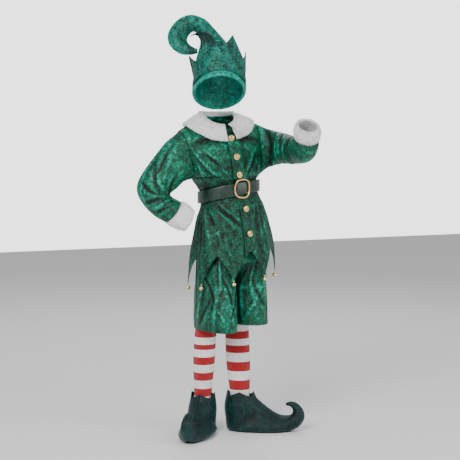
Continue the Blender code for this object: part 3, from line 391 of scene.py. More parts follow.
# Finer creases of the tunic's body, in the columns of the folds above.
BODY_CREASES = np.array([
    (-47, 0.748, -42, 0.052, 0.0060, 0.0026),
    (-36, 0.733, -46, 0.060, 0.0058, -0.0028),
    (-22, 0.722, -40, 0.050, 0.0062, 0.0024),
    (-56, 0.712, -30, 0.056, 0.0070, -0.0026),
    (-70, 0.722, -16, 0.060, 0.0066, 0.0028),
    (-14, 0.690, -28, 0.052, 0.0060, -0.0022),
    (-44, 0.668, -22, 0.048, 0.0068, 0.0026),
    (-31, 0.628, -12, 0.040, 0.0060, 0.0022),
    (-80, 0.676, -8, 0.062, 0.0072, -0.0028),
    (-96, 0.712, -4, 0.052, 0.0066, 0.0026),
    (16, 0.724, 22, 0.048, 0.0058, 0.0022),
    (30, 0.706, 14, 0.056, 0.0062, -0.0026),
    (45, 0.728, 18, 0.044, 0.0060, 0.0024),
    (56, 0.690, 10, 0.058, 0.0072, 0.0026),
    (72, 0.712, 6, 0.060, 0.0064, -0.0028),
    (20, 0.650, 8, 0.046, 0.0064, 0.0022),
    (100, 0.702, 2, 0.064, 0.0070, 0.0028),
    (116, 0.724, -4, 0.046, 0.0060, -0.0024),
    (134, 0.700, 2, 0.060, 0.0068, 0.0028),
    (150, 0.722, 6, 0.044, 0.0060, -0.0024),
    (168, 0.694, 0, 0.060, 0.0070, 0.0026),
    (-174, 0.724, -4, 0.042, 0.0060, -0.0022),
    (-158, 0.700, -2, 0.062, 0.0068, 0.0028),
    (-138, 0.722, 4, 0.046, 0.0060, 0.0022),
    (-124, 0.692, -4, 0.058, 0.0068, -0.0026),
    (-110, 0.716, 2, 0.048, 0.0062, 0.0024),
    (-46, 0.880, -38, 0.040, 0.0060, 0.0024),
    (-34, 0.900, -46, 0.046, 0.0056, -0.0024),
    (-60, 0.908, -34, 0.044, 0.0064, 0.0026),
    (-20, 0.868, -32, 0.030, 0.0054, 0.0020),
    (-72, 0.880, -26, 0.040, 0.0060, -0.0024),
    (-26, 0.845, -56, 0.028, 0.0052, 0.0018),
    (22, 0.880, 34, 0.036, 0.0056, 0.0022),
    (38, 0.896, 42, 0.042, 0.0060, -0.0024),
    (56, 0.884, 30, 0.040, 0.0062, 0.0026),
    (30, 0.850, 52, 0.026, 0.0052, 0.0018),
    (72, 0.874, 22, 0.036, 0.0060, -0.0022),
    (110, 0.880, 12, 0.044, 0.0064, 0.0024),
    (138, 0.892, 16, 0.046, 0.0062, -0.0024),
    (164, 0.876, 4, 0.042, 0.0060, 0.0022),
    (-168, 0.884, -6, 0.040, 0.0060, -0.0022),
    (-142, 0.890, -16, 0.046, 0.0062, 0.0024),
    (-112, 0.880, -12, 0.044, 0.0064, 0.0024),
])
CREASE_GAIN = 1.35
FOLD_FULL = 0.0016
SKIRT_FINE = 96
ARM_FINE = 52
TURN_FINE = 98


def finer(values, count):
    """The same run of values read at more places, evenly by their order."""
    values = np.asarray(values, float)
    return np.interp(np.linspace(0, len(values) - 1, count), np.arange(len(values)), values)


def smooth(x):
    """Smooth step from 0 to 1."""
    x = np.clip(x, 0, 1)
    return x * x * (3 - 2 * x)


def panel_grid(side, front, over, edge_gap):
    """A panel of the tunic: skirt rows round the body's ellipse from the hem up, then rows that run from
    the neckline or the front edge to the armhole, on one set of columns."""
    rows = []
    for height in finer(SKIRT_ROWS, SKIRT_FINE):
        _, middle, right, left, fore, aft = spline(row_at(height, BODY), BODY)
        width, depth = (left if side > 0 else right), (fore if front else aft)
        first = -math.degrees(over / width)
        last = 90.0 - math.degrees(edge_gap / depth)
        u = np.linspace(0, 1, TURN_FINE)
        turn = first + (last - first) * u
        angle = side * turn if front else side * (180.0 - turn)
        drop = tab_drop(angle) * np.clip((0.70 - height) / (0.70 - HEM), 0, 1) ** 1.5
        row = body_points(angle, height - drop, TAB_FLARE * drop / TAB_DROP)
        crease = fold_depth(angle, height - drop, BODY_CREASES, 0.0019)
        away = row - np.array([middle, 0, 0])
        away[:, 2] = 0
        row += away / np.linalg.norm(away, axis=1, keepdims=True) * (CREASE_GAIN * crease)[:, None]
        rows.append(row)
    low_middle = spline(row_at(UNDERARM, BODY), BODY)[1]
    below = rows[-1]
    for share in finer((0.0,) + ARMHOLE_ROWS, ARM_FINE)[1:]:
        inside = inner_point(side, share, front, over)
        outside = armhole_point(side, share, front)
        middle = spline(row_at(min(inside[2], NECK_FRONT), BODY), BODY)[1]
        lead = math.asin(np.clip((inside[0] - middle) / (outside[0] - middle), -0.9, 0.9))
        turn = lead + (math.pi / 2 - lead) * u
        reach = (outside[1] - inside[1]) / math.cos(lead)
        x = middle + (outside[0] - middle) * np.sin(turn)
        y = outside[1] - reach * np.cos(turn)
        rise = (np.sin(turn) - math.sin(lead)) / (1 - math.sin(lead))
        z = inside[2] + (outside[2] - inside[2]) * rise
        row = np.stack([x, y, z], -1)
        angle = side * np.degrees(turn) if front else side * (180.0 - np.degrees(turn))
        folds = fold_depth(angle, z, np.vstack([BODY_FOLDS[BODY_FOLDS[:, 1] > 0.8], BODY_CREASES]), 0.0019)
        away = row - np.array([middle, 0, 0])
        away[:, 2] = 0
        fade = smooth((1 - share) * 5) * smooth((1 - u) * 6)
        row += away / np.linalg.norm(away, axis=1, keepdims=True) * (CREASE_GAIN * folds * fade)[:, None]
        # the first rows above the underarm ease from the skirt's last row
        weight = smooth(share / 0.10)
        row = row * weight + (below + np.array([0, 0, row[:, 2].mean() - below[:, 2].mean()])) * (1 - weight)
        rows.append(row)
    grid = np.array(rows)
    grid[-1, :, 1] += -edge_gap if front else edge_gap
    return grid


def outward(points, closed=False):
    """Grid normals turned to point away from the middle of the body."""
    normals = grid_normals(points, closed)
    middle = points.reshape(-1, 3).mean(0)
    middle[1] = 0.0
    return normals if np.sum(normals * (points - middle)) > 0 else -normals


def tube_normals(points):
    """Normals of a closed tube, turned away from each ring's own middle."""
    normals = grid_normals(points, True)
    return normals if np.sum(normals * (points - points.mean(1, keepdims=True))) > 0 else -normals


def ring_tube(table, rows, columns):
    """Rings read from a table: the ring's middle, plus its two half vectors by cosine and sine."""
    values = spline(np.linspace(0, len(table) - 1, rows), table)
    a, b, c = values[:, 0:3], values[:, 3:6], values[:, 6:9]
    psi = np.linspace(0, 2 * math.pi, columns, endpoint=False)
    middle, half = (a + b) / 2, (a - b) / 2
    ring = middle[:, None] + half[:, None] * np.cos(psi)[None, :, None] + c[:, None] * np.sin(psi)[None, :, None]
    return from_limb(ring), psi


def spokes(tube):
    """Unit vectors from each ring's middle to its points."""
    out = tube - tube.mean(1, keepdims=True)
    return out / np.linalg.norm(out, axis=-1, keepdims=True)


def blurred(grid, reach, closed):
    """The grid averaged along its rows and columns with a soft kernel of the given reach in cells."""
    kernel = np.hanning(2 * reach + 3)[1:-1]
    kernel /= kernel.sum()
    for axis in (0, 1):
        pads = [(0, 0)] * 3
        pads[axis] = (reach, reach)
        wide = np.pad(grid, pads, mode="wrap" if closed and axis == 1 else "reflect", **(
            {} if closed and axis == 1 else {"reflect_type": "odd"}))
        grid = sum(k * np.take(wide, np.arange(i, i + grid.shape[axis]), axis) for i, k in enumerate(kernel))
    return grid


def surface_mesh(name, points, normals, closed, uv_rows=None, turns_per_round=1.0, close_ends=False,
                 weld=False, split=None):
    """A mesh of the grid's quads, faces outwards, with a map: u once round or across, v along the rows.
    Columns split and split + 1 are one column below, and part to both sides of an opening above."""
    rows, columns = points.shape[:2]
    spans = columns if closed else columns - 1
    r, c = np.meshgrid(np.arange(rows - 1), np.arange(spans), indexing="ij")
    r, c = r.ravel(), c.ravel()
    if split is not None:
        r, c = r[c != split], c[c != split]
    corner = [(r, c), (r, c + 1), (r + 1, c + 1), (r + 1, c)]
    quads = np.stack([rr * columns + cc % columns for rr, cc in corner], -1)
    flat = points.reshape(-1, 3)
    face = np.cross(flat[quads[:, 2]] - flat[quads[:, 0]], flat[quads[:, 3]] - flat[quads[:, 1]])
    if np.sum(face * normals.reshape(-1, 3)[quads[:, 0]]) < 0:
        quads, corner = quads[:, ::-1], corner[::-1]
    v_of = np.linspace(0, 1, rows) if uv_rows is None else uv_rows
    u = np.stack([cc / spans * turns_per_round for _, cc in corner], -1)
    v = np.stack([v_of[rr] if np.ndim(v_of) == 1 else v_of[rr, cc % columns] for rr, cc in corner], -1)
    faces = quads.tolist()
    if close_ends:
        faces.append(list(range(columns)))
        faces.append(list(range((rows - 1) * columns, rows * columns))[::-1])
    mesh = bpy.data.meshes.new(name)
    mesh.from_pydata((flat - np.array([0, 0, SHOULDER_HEIGHT])).tolist(), [], faces)
    layer = mesh.uv_layers.new(name="cloth")
    values = np.zeros((len(mesh.loops), 2))
    values[: quads.size] = np.stack([u.ravel(), v.ravel()], -1)
    layer.data.foreach_set("uv", values.ravel())
    # fold: how far each point stands above its blurred surface; the velvet shader uses it to paint shade in the troughs
    # and sheen on the crests
    stands = np.sum((points - blurred(points, 6, closed)) * normals, -1) / FOLD_FULL
    fold = mesh.attributes.new("fold", "FLOAT", "POINT")
    fold.data.foreach_set("value", np.clip(stands, -1, 1).ravel())
    if weld or split is not None:
        bm = bmesh.new()
        bm.from_mesh(mesh)
        bmesh.ops.remove_doubles(bm, verts=bm.verts, dist=1e-6)
        bm.to_mesh(mesh)
        bm.free()
    mesh.shade_smooth()
    return mesh


def piece(name, mesh, material, replaced, thick=0.0):
    """An object of the mesh that rides on the costume and takes the place of its plain solids."""
    mesh.materials.append(material)
    made = bpy.data.objects.new(name, mesh)
    bpy.context.scene.collection.objects.link(made)
    if thick:
        wall = made.modifiers.new("thickness", "SOLIDIFY")
        wall.thickness = thick
        wall.offset = -1
        wall.use_even_offset = False
    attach(made, "root")
    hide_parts(*replaced)
    return made


def cut_size(points, closed, plan=False):
    """The cut of a sheet: its widest row (all round on a tube), its longest column, and its area. A row
    whose edge runs up and down in points is measured in plan."""
    along = np.linalg.norm(np.diff(points, axis=0), axis=-1).sum(0)
    ring = np.concatenate([points, points[:, :1]], 1) if closed else points
    across = np.linalg.norm(np.diff(ring[..., :2] if plan else ring, axis=1), axis=-1).sum(1)
    one, two = ring[1:, 1:] - ring[:-1, :-1], ring[1:, :-1] - ring[:-1, 1:]
    area = np.linalg.norm(np.cross(one, two), axis=-1).sum() / 2
    width, length = float(across.max()), float(along.max())
    return (round(width, 3), round(length, 3)), round(min(float(area), width * length * 0.999), 4)


def sheet_of(points, closed, plan=False):
    """Measures the cut of a cloth piece; the result is not used."""
    flat, area = cut_size(points, closed, plan)


# Creases of the other cloths, in metres round or across the piece, metres along it, slant in degrees,
# half length, half width and depth.
CREASE_COLUMNS = ("across", "along", "slant", "length", "width", "depth")
SLEEVE_CREASES = {
    -1: ((0.060, 0.060, 24, 0.050, 0.0060, -0.0030), (0.100, 0.085, 30, 0.056, 0.0060, 0.0030),
         (0.085, 0.125, 48, 0.044, 0.0056, -0.0032), (0.120, 0.135, 62, 0.040, 0.0054, 0.0032),
         (0.075, 0.160, 70, 0.046, 0.0056, -0.0034), (0.110, 0.175, 84, 0.042, 0.0052, 0.0030),
         (0.070, 0.192, 96, 0.050, 0.0056, -0.0034), (0.100, 0.208, 104, 0.044, 0.0054, 0.0030),
         (0.080, 0.226, 86, 0.048, 0.0056, -0.0028), (0.150, 0.100, 20, 0.050, 0.0062, -0.0028),
         (0.030, 0.110, 10, 0.050, 0.0064, 0.0028), (0.300, 0.120, -30, 0.050, 0.0064, 0.0028),
         (0.330, 0.160, -52, 0.048, 0.0058, -0.0028), (0.290, 0.200, -70, 0.044, 0.0058, 0.0026)),
    1: ((0.060, 0.040, 76, 0.060, 0.0060, -0.0030), (0.080, 0.066, 84, 0.064, 0.0062, 0.0030),
        (0.070, 0.094, 96, 0.060, 0.0058, -0.0032), (0.090, 0.122, 88, 0.056, 0.0060, 0.0030),
        (0.060, 0.150, 80, 0.052, 0.0056, -0.0030), (0.085, 0.178, 98, 0.048, 0.0056, 0.0028),
        (0.060, 0.204, 90, 0.044, 0.0054, -0.0026), (0.200, 0.080, 100, 0.056, 0.0060, 0.0028),
        (0.230, 0.120, 84, 0.054, 0.0060, -0.0028), (0.210, 0.168, 94, 0.050, 0.0058, 0.0026),
        (0.300, 0.100, 70, 0.050, 0.0060, -0.0026), (0.290, 0.150, 82, 0.048, 0.0058, 0.0026)),
}
KNICKER_CREASES = {
    -1: ((0.090, 0.250, 14, 0.085, 0.0070, 0.0034), (0.130, 0.300, -18, 0.075, 0.0066, -0.0034),
         (0.160, 0.240, 24, 0.080, 0.0070, 0.0034), (0.200, 0.320, 8, 0.070, 0.0070, 0.0034),
         (0.230, 0.260, -22, 0.080, 0.0068, -0.0032), (0.270, 0.310, 12, 0.075, 0.0070, 0.0032),
         (0.310, 0.250, -8, 0.080, 0.0070, -0.0034), (0.350, 0.310, 16, 0.070, 0.0068, 0.0032),
         (0.110, 0.345, 36, 0.045, 0.0056, -0.0026), (0.180, 0.365, -40, 0.040, 0.0056, 0.0026),
         (0.060, 0.310, -10, 0.070, 0.0066, 0.0030), (0.250, 0.360, 30, 0.040, 0.0056, -0.0026)),
    1: ((0.080, 0.250, 18, 0.085, 0.0070, 0.0034), (0.120, 0.300, 34, 0.070, 0.0066, -0.0032),
        (0.150, 0.230, 10, 0.080, 0.0070, 0.0034), (0.190, 0.310, -14, 0.075, 0.0070, -0.0034),
        (0.220, 0.250, 20, 0.080, 0.0070, 0.0034), (0.260, 0.310, 4, 0.070, 0.0068, 0.0032),
        (0.300, 0.250, -18, 0.080, 0.0070, -0.0034), (0.340, 0.300, 12, 0.075, 0.0070, 0.0032),
        (0.100, 0.340, -38, 0.042, 0.0056, 0.0026), (0.170, 0.350, 42, 0.040, 0.0056, -0.0026),
        (0.050, 0.300, 6, 0.070, 0.0066, 0.0030), (0.240, 0.350, -30, 0.042, 0.0056, 0.0026)),
}
HAT_CREASES = (
    (0.060, 0.070, 84, 0.050, 0.0050, -0.0024), (0.150, 0.085, 96, 0.050, 0.0050, 0.0024),
    (0.100, 0.110, 80, 0.046, 0.0048, -0.0024), (0.200, 0.120, 100, 0.044, 0.0048, 0.0022),
    (0.060, 0.150, 92, 0.036, 0.0046, -0.0022), (0.130, 0.175, 86, 0.032, 0.0044, 0.0022),
    (0.080, 0.205, 94, 0.030, 0.0042, -0.0020), (0.050, 0.235, 84, 0.030, 0.0042, 0.0020),
    (0.110, 0.262, 96, 0.028, 0.0040, -0.0020), (0.060, 0.295, 88, 0.028, 0.0040, 0.0018),
    (0.090, 0.330, 92, 0.026, 0.0038, -0.0018), (0.050, 0.365, 86, 0.024, 0.0036, 0.0016),
    (0.080, 0.400, 94, 0.022, 0.0034, -0.0014), (0.300, 0.080, 90, 0.050, 0.0050, -0.0022),
    (0.340, 0.120, 84, 0.046, 0.0050, 0.0022), (0.260, 0.160, 96, 0.040, 0.0046, -0.0020),
)
# Heights of the edges between the stripes of each stocking, from the top; the first band is named.
STRIPE = 0.0265
STRIPES = {
    "right": (0, (0.3232, 0.2997, 0.2832, 0.2581, 0.2324, 0.2057, 0.1790, 0.1510)),
    "left": (1, (0.3339, 0.3088, 0.2871, 0.2630, 0.2330, 0.2021, 0.1724, 0.1401)),
}
RIBS = 40


def relief(points, closed, table):
    """Sum of soft creases over a grid, each a long bell-shaped ridge or trough laid at its slant; places
    are metres round or across the piece and metres along it."""
    rows, columns = points.shape[:2]
    ring = np.concatenate([points, points[:, :1]], 1) if closed else points
    wide = np.linalg.norm(np.diff(ring, axis=1), axis=-1).sum(1).max()
    steps = np.linalg.norm(np.diff(points, axis=0), axis=-1).mean(1)
    along = np.concatenate([[0], np.cumsum(steps)])[:, None]
    across = np.linspace(0, wide, columns, endpoint=not closed)[None]
    total = np.zeros((rows, columns))
    for at, level, slant, length, width, depth in table:
        side, up = across - at, along - level
        if closed:
            side = (side + wide / 2) % wide - wide / 2
        s, c = math.sin(math.radians(slant)), math.cos(math.radians(slant))
        total += depth * np.exp(-(((side * c - up * s) / width) ** 2) - ((side * s + up * c) / length) ** 2)
    return total


def rounded_slab(middle, normals, thick, columns=20, power=0.55):
    """A slab of rounded section round a middle sheet: the width is run through there and back by a cosine,
    and the distance from the sheet is a power of the sine."""
    t = np.linspace(0, 2 * math.pi, columns, endpoint=False)
    at = (0.5 - 0.5 * np.cos(t)) * (middle.shape[1] - 1)
    low = np.minimum(at.astype(int), middle.shape[1] - 2)
    part = (at - low)[None, :, None]
    off = np.sign(np.sin(t)) * np.abs(np.sin(t)) ** power * thick / 2
    sheet = middle[:, low] * (1 - part) + middle[:, low + 1] * part
    lean = normals[:, low] * (1 - part) + normals[:, low + 1] * part
    return sheet + lean * off[None, :, None], lean * np.sign(np.sin(t) + 1e-9)[None, :, None]


def closed_loop(points):
    """The grid with its first row repeated at the end, for a ring that closes."""
    return np.concatenate([points, points[:1]], 0)


def pile_mesh(name, points, normals, count, length, seed):
    """Short pile: thin triangles that stand on the surface and lean at random, from a seeded draw."""
    rng = np.random.default_rng(seed)
    rows, columns = points.shape[:2]
    r = rng.integers(0, rows - 1, count)
    c = rng.integers(0, columns, count)
    a, b = rng.random((2, count, 1))
    base = points[r, c] * (1 - a) + points[r + 1, c] * a
    base = base * (1 - b) + (points[r, (c + 1) % columns] * (1 - a) + points[r + 1, (c + 1) % columns] * a) * b
    lean = normals[r, c] + rng.normal(0, 0.55, (count, 3))
    lean /= np.linalg.norm(lean, axis=1, keepdims=True)
    side = np.cross(lean, rng.normal(0, 1, (count, 3)))
    side /= np.linalg.norm(side, axis=1, keepdims=True)
    half = side * 0.00028
    tip = base + lean * (length * rng.uniform(0.6, 1.25, (count, 1)))
    verts = np.stack([base - half, base + half, tip], 1).reshape(-1, 3) - np.array([0, 0, SHOULDER_HEIGHT])
    mesh = bpy.data.meshes.new(name)
    mesh.from_pydata(verts.tolist(), [], np.arange(3 * count).reshape(-1, 3).tolist())
    return mesh


def lap_ease(front):
    """How far the left front stands off where it laps over the right one."""
    middle = front[:, :1, 0] + OVERLAP
    fade = smooth(1 - (np.abs(front[..., 0] - middle) - 0.016) / 0.030)
    fade[front[..., 2] > NECK_FRONT + 0.03] *= 0.4
    return (CLOTH + np.where(front[..., 2] > UNDERARM, 2.0, 1.0) * LAP_EASE) * fade


def tunic_grids():
    """The three panels of the tunic, with their outward normals."""
    half_gap = SEAM / 2
    grids = {}
    for side, name in ((-1, "tunic_front_right"), (1, "tunic_front_left")):
        front = panel_grid(side, True, OVERLAP if side > 0 else 0.010, half_gap)
        normals = outward(front)
        if side > 0:
            front = front + normals * lap_ease(front)[..., None]
        grids[name] = (front, outward(front))
    right = panel_grid(-1, False, 0.0, half_gap)
    left = panel_grid(1, False, 0.0, half_gap)
    back = np.concatenate([right[:, ::-1], left], axis=1)
    grids["tunic_back"] = (back, outward(back))
    return grids


def body_tree(sheets):
    """A search tree of the tunic's outer surface, for laying pieces on it."""
    points, faces = [], []
    for grid, _ in sheets.values():
        rows, columns = grid.shape[:2]
        start = len(points)
        points += [Vector(p) for p in grid.reshape(-1, 3)]
        for r in range(rows - 1):
            for c in range(columns - 1):
                i = start + r * columns + c
                faces.append((i, i + 1, i + 1 + columns, i + columns))
    return BVHTree.FromPolygons(points, faces)


COLLAR_CENTRE = Vector((0.000, 0.000, 0.950))
COLLAR_WIDTH = 0.064
COLLAR_START = {-1: 4.0, 1: 15.0}


def collar_grid(side, tree, rows, columns, lift):
    """Half the collar: rays from a point inside the neck find the tunic, from neckline to outer edge."""
    grid = np.zeros((rows, columns, 3))
    for c in range(columns):
        start = COLLAR_START[side]
        turn = math.radians(start + (179.5 - start) * c / (columns - 1)) * side
        heading = Vector((math.sin(turn), -math.cos(turn), 0))
        # the neckline's own slope: low at the front, high at the sides and back
        neck = Vector((heading.x * 0.054 + 0.002, heading.y * 0.058, 0))
        neck.z = 1.010 + 0.050 * min(1, (1 - math.cos(abs(turn))) * 0.9)
        edge_round = min(1.0, (abs(math.degrees(turn)) - 2) / 70)
        width = COLLAR_WIDTH * (0.66 + 0.34 * edge_round)
        last, run, slope = None, 0.0, math.atan2(neck.z - COLLAR_CENTRE.z, neck.xy.length)
        path = [neck + Vector((0, 0, 0.004))]
        while run < width and slope > -1.2:
            slope -= 0.02
            ray = Vector((heading.x * math.cos(slope), heading.y * math.cos(slope), math.sin(slope)))
            hit, normal, _, _ = tree.ray_cast(COLLAR_CENTRE, ray)
            if hit is None:
                continue
            if last is not None:
                run += (hit - last).length
            last = hit
            path.append(hit + ray * (lift + 0.005 * math.exp(-((math.degrees(turn) / 24) ** 2))))
        lengths = np.cumsum([0] + [(q - p).length for p, q in zip(path, path[1:])])
        even = np.linspace(0, lengths[-1], rows)
        points = np.array([p[:] for p in path])
        grid[:, c] = np.stack([np.interp(even, lengths, points[:, k]) for k in range(3)], -1)
    return grid


def armhole_ring(side, shares):
    """The armhole's whole edge as a ring: shoulder, front, underarm, back."""
    front = [armhole_point(side, s, True) for s in shares]
    back = [armhole_point(side, s, False) for s in shares]
    return np.array(front[::-1] + back[1:-1])


def sleeve_grid(side):
    """A sleeve: rings along the arm, eased into the armhole's edge, with its folds and creases."""
    hole = armhole_ring(side, finer((0.0,) + ARMHOLE_ROWS, 50)) + np.array([side * 0.0006, 0, 0])
    columns, rows = len(hole), 84
    tube, _ = ring_tube(SLEEVE_RIGHT if side < 0 else SLEEVE_LEFT, rows, columns)
    turned = [np.roll(grid, k, 1) for grid in (tube, tube[:, ::-1]) for k in range(columns)]
    tube = min(turned, key=lambda grid: np.sum((grid[0] - hole) ** 2))
    share = np.linspace(0, 1, rows)[:, None]
    tube = tube + (hole - tube[0]) * (1 - smooth(share * 8))[..., None]
    ends = np.minimum(1, share * 6) * np.minimum(1, (1 - share) * 6)
    depth = relief(tube, True, SLEEVE_CREASES[side]) * ends
    return tube + spokes(tube) * depth[..., None]


def collar_middle(side, tree, rows, columns):
    """The middle sheet of half the collar, laid on the shoulders, with its normals; rows go round the neck."""
    under = collar_grid(side, tree, rows, columns, 0.0080)
    for _ in range(6):
        under[:, 1:-1] = (under[:, :-2] + 2 * under[:, 1:-1] + under[:, 2:]) / 4
    normals = grid_normals(under, False)
    normals = normals if normals[..., 2].sum() > 0 else -normals
    middle = under + normals * PLUSH / 2
    return middle.transpose(1, 0, 2), normals.transpose(1, 0, 2)


def fluffy(points, normals, depth):
    """Soft lumps of plush: three crossed waves along the normals."""
    x, y, z = np.moveaxis(points, -1, 0)
    lumps = np.sin(170 * x + 60 * y) * np.sin(190 * y + 50 * z) + 0.6 * np.sin(330 * z + 120 * x) * np.sin(300 * x - 90 * y)
    return points + normals * (depth * lumps)[..., None]


def turned(profile, base, axis, steps):
    """A profile of (radius, distance along the axis) carried once round the axis through base."""
    turn = np.array(Vector(axis).to_track_quat("Z", "Y").to_matrix())
    t = np.linspace(0, 2 * math.pi, steps, endpoint=False)
    r, z = np.array(profile).T
    local = np.stack([r[:, None] * np.cos(t), r[:, None] * np.sin(t), z[:, None] + 0 * t], -1)
    return local @ turn.T + np.array(base), (local - np.array([0, 0, z.mean()])) @ turn.T


BUTTON_LEAN = 9.0
BODY_MIDDLE = 0.035
BUTTON_HEIGHTS = (0.975, 0.915, 0.857, 0.735, 0.655)
BUTTON_PROFILE = np.array([
    (0.02, 0.0), (0.45, 0.0), (0.49, 0.02), (0.5, 0.06), (0.49, 0.11), (0.46, 0.145), (0.42, 0.15),
    (0.385, 0.13), (0.33, 0.16), (0.22, 0.205), (0.10, 0.225), (0.02, 0.23),
])


def bell_profile(radius):
    """A round bell under a short stalk: half a circle with a rolled seam at its middle, then the stalk."""
    t = np.linspace(0.02, math.pi - 0.22, 22)
    seam = 0.0005 * np.exp(-(((t - math.pi / 2) / 0.07) ** 2))
    ball = np.stack([(radius + seam) * np.sin(t), -radius - 0.006 - radius * np.cos(t)], -1)
    return np.vstack([ball, [(0.0016, -0.0058), (0.0016, -0.0008), (0.0004, -0.0005)]])


def buckle_grid():
    """The ring buckle: a rounded oblong path, bowed to the belt, with a round section carried along it."""
    centre = body_points(0, BELT_HEIGHT, BELT_LIFT + BELT_THICK + 0.0040)
    t = np.linspace(0, 2 * math.pi, 120, endpoint=False)
    x = 0.026 * np.sign(np.cos(t)) * np.abs(np.cos(t)) ** 0.75
    z = 0.0295 * np.sign(np.sin(t)) * np.abs(np.sin(t)) ** 0.75
    y = -(0.0036 - x * x / 0.19) + 0.0036 - 0.006 * np.maximum(0, z) / 0.031
    path = np.stack([centre[0] + x, centre[1] + y, centre[2] + z], -1)
    return ring_section(path, 0.0030, 0.0030)


def ring_section(path, across, deep):
    """A round section carried along a closed path that lies about one middle."""
    along = np.roll(path, -1, 0) - np.roll(path, 1, 0)
    along /= np.linalg.norm(along, axis=1, keepdims=True)
    out = path - path.mean(0)
    out -= along * np.sum(out * along, 1, keepdims=True)
    out /= np.linalg.norm(out, axis=1, keepdims=True)
    up = np.cross(along, out)
    s = np.linspace(0, 2 * math.pi, 14, endpoint=False)[None, :, None]
    normal = out[:, None] * np.cos(s) + up[:, None] * np.sin(s)
    return path[:, None] + out[:, None] * np.cos(s) * across + up[:, None] * np.sin(s) * deep, normal


KNICKER_PELVIS = (0.756, 0.700, 0.640, 0.575)
LEGS_MIDDLE = 0.0315


def knicker_grid(side, columns=130):
    """Half the knickers: rows round one hip, blended under to the crotch, then rows down the leg."""
    table = LEG_RIGHT if side < 0 else LEG_LEFT
    t = np.linspace(0, 1, columns)
    gap = SEAM * 0.7
    rows = []
    for height in finer(KNICKER_PELVIS, 34):
        lower = (KNICKER_PELVIS[0] - height) / (KNICKER_PELVIS[0] - KNICKER_PELVIS[-1])
        angle = side * (0.5 + 179.0 * t)
        ring = body_points(angle, np.full(columns, height), -KNICKERS_EASE - HIP_EASE[side] * lower, folded=False)
        ring[:, 2] = height
        ring[:, 0] += side * gap
        rows.append(ring)
    hip = rows[-1].copy()
    middle = spline(row_at(CROTCH, BODY), BODY)[1]
    legs = []
    for at in np.linspace(0, len(table) - 1, 42):
        up, across, toward, width, depth = spline(at, table)
        centre = from_limb(np.array([across, toward, up]))
        theta = np.radians(-90 + 0.2 + 359.6 * t)
        x = centre[0] + side * width * np.sin(theta)
        y = centre[1] - depth * np.cos(theta)
        legs.append(np.stack([x, y, np.full(columns, up)], -1))
    for weight in np.linspace(0, 1, 26)[1:-1]:
        row = hip * (1 - weight) + legs[0] * weight
        inside = middle + (LEGS_MIDDLE - middle) * weight
        row[:, 0] = inside + side * np.maximum(side * (row[:, 0] - inside), gap)
        rows.append(row)
    for row in legs:
        row[:, 0] = LEGS_MIDDLE + side * np.maximum(side * (row[:, 0] - LEGS_MIDDLE), gap)
        rows.append(row)
    grid = np.array(rows)
    along = np.gradient(grid, axis=1)
    normals = np.stack([along[..., 1], -along[..., 0], np.zeros(along.shape[:2])], -1)
    normals /= np.maximum(np.linalg.norm(normals, axis=-1, keepdims=True), 1e-9)
    if normals[1, columns // 2, 0] * side < 0:
        normals = -normals
    edge = np.minimum(1, np.minimum(t, 1 - t) * 9)[None]
    grid = grid + normals * (relief(grid, False, KNICKER_CREASES[side]) * edge)[..., None]
    return grid, normals


def foot_frame(side, points):
    """Shoe axes (forward, sideways, up) set at the ankle and turned with the foot."""
    (across, toward), turn = SHOES[side]
    forward, sideways, up = points[..., 0], points[..., 1], points[..., 2]
    c, s = math.cos(turn), math.sin(turn)
    return from_limb(np.stack([
        across + forward * c - sideways * s,
        toward + forward * s + sideways * c,
        up,
    ], -1))


# The stocking's foot in the shoe's axes: instep point, heel or sole point, half width.
FOOT = np.array([
    (0.036, 0.084, -0.044, 0.060, 0.028),
    (0.052, 0.072, -0.042, 0.022, 0.027),
    (0.068, 0.060, -0.006, 0.010, 0.028),
    (0.088, 0.048, 0.050, 0.010, 0.028),
    (0.104, 0.040, 0.094, 0.010, 0.024),
    (0.116, 0.030, 0.114, 0.016, 0.012),
])


def shoe_grid(side, hand, rows=120, columns=60):
    """One side of a shoe: from the top seam over the side to the sole's edge, ring by ring; the collar's
    upper edge is cut in points."""
    values = spline(np.linspace(0, len(SHOE) - 1, rows), SHOE)
    tf, tu, lf, lu, width, edge = values.T
    v = np.linspace(0, 1, columns)
    fall = (1 - np.cos(np.pi * v)) / 2
    forward = tf[:, None] + (lf - tf)[:, None] * fall
    up = tu[:, None] + (lu - tu)[:, None] * fall
    out = (width - 0.35 * edge)[:, None] * np.sin(np.pi * v) + np.maximum(edge, 0)[:, None] * fall
    out = np.maximum(out, 0) + SEAM
    fade = np.clip(1 - np.linspace(0, 18, rows), 0, 1)[:, None]
    up = up + fade * SHOE_NOTCH_DEPTH * np.abs((v * SHOE_NOTCHES) % 2 - 1)
    up = np.maximum(up, SOLE_THICK + 0.0006)
    shape = np.stack([forward, hand * out, up], -1)
    normals = grid_normals(shape, False)
    if np.sum(normals[..., 1] * hand) < 0:
        normals = -normals
    return foot_frame(side, shape), foot_frame(side, shape + normals) - foot_frame(side, shape)


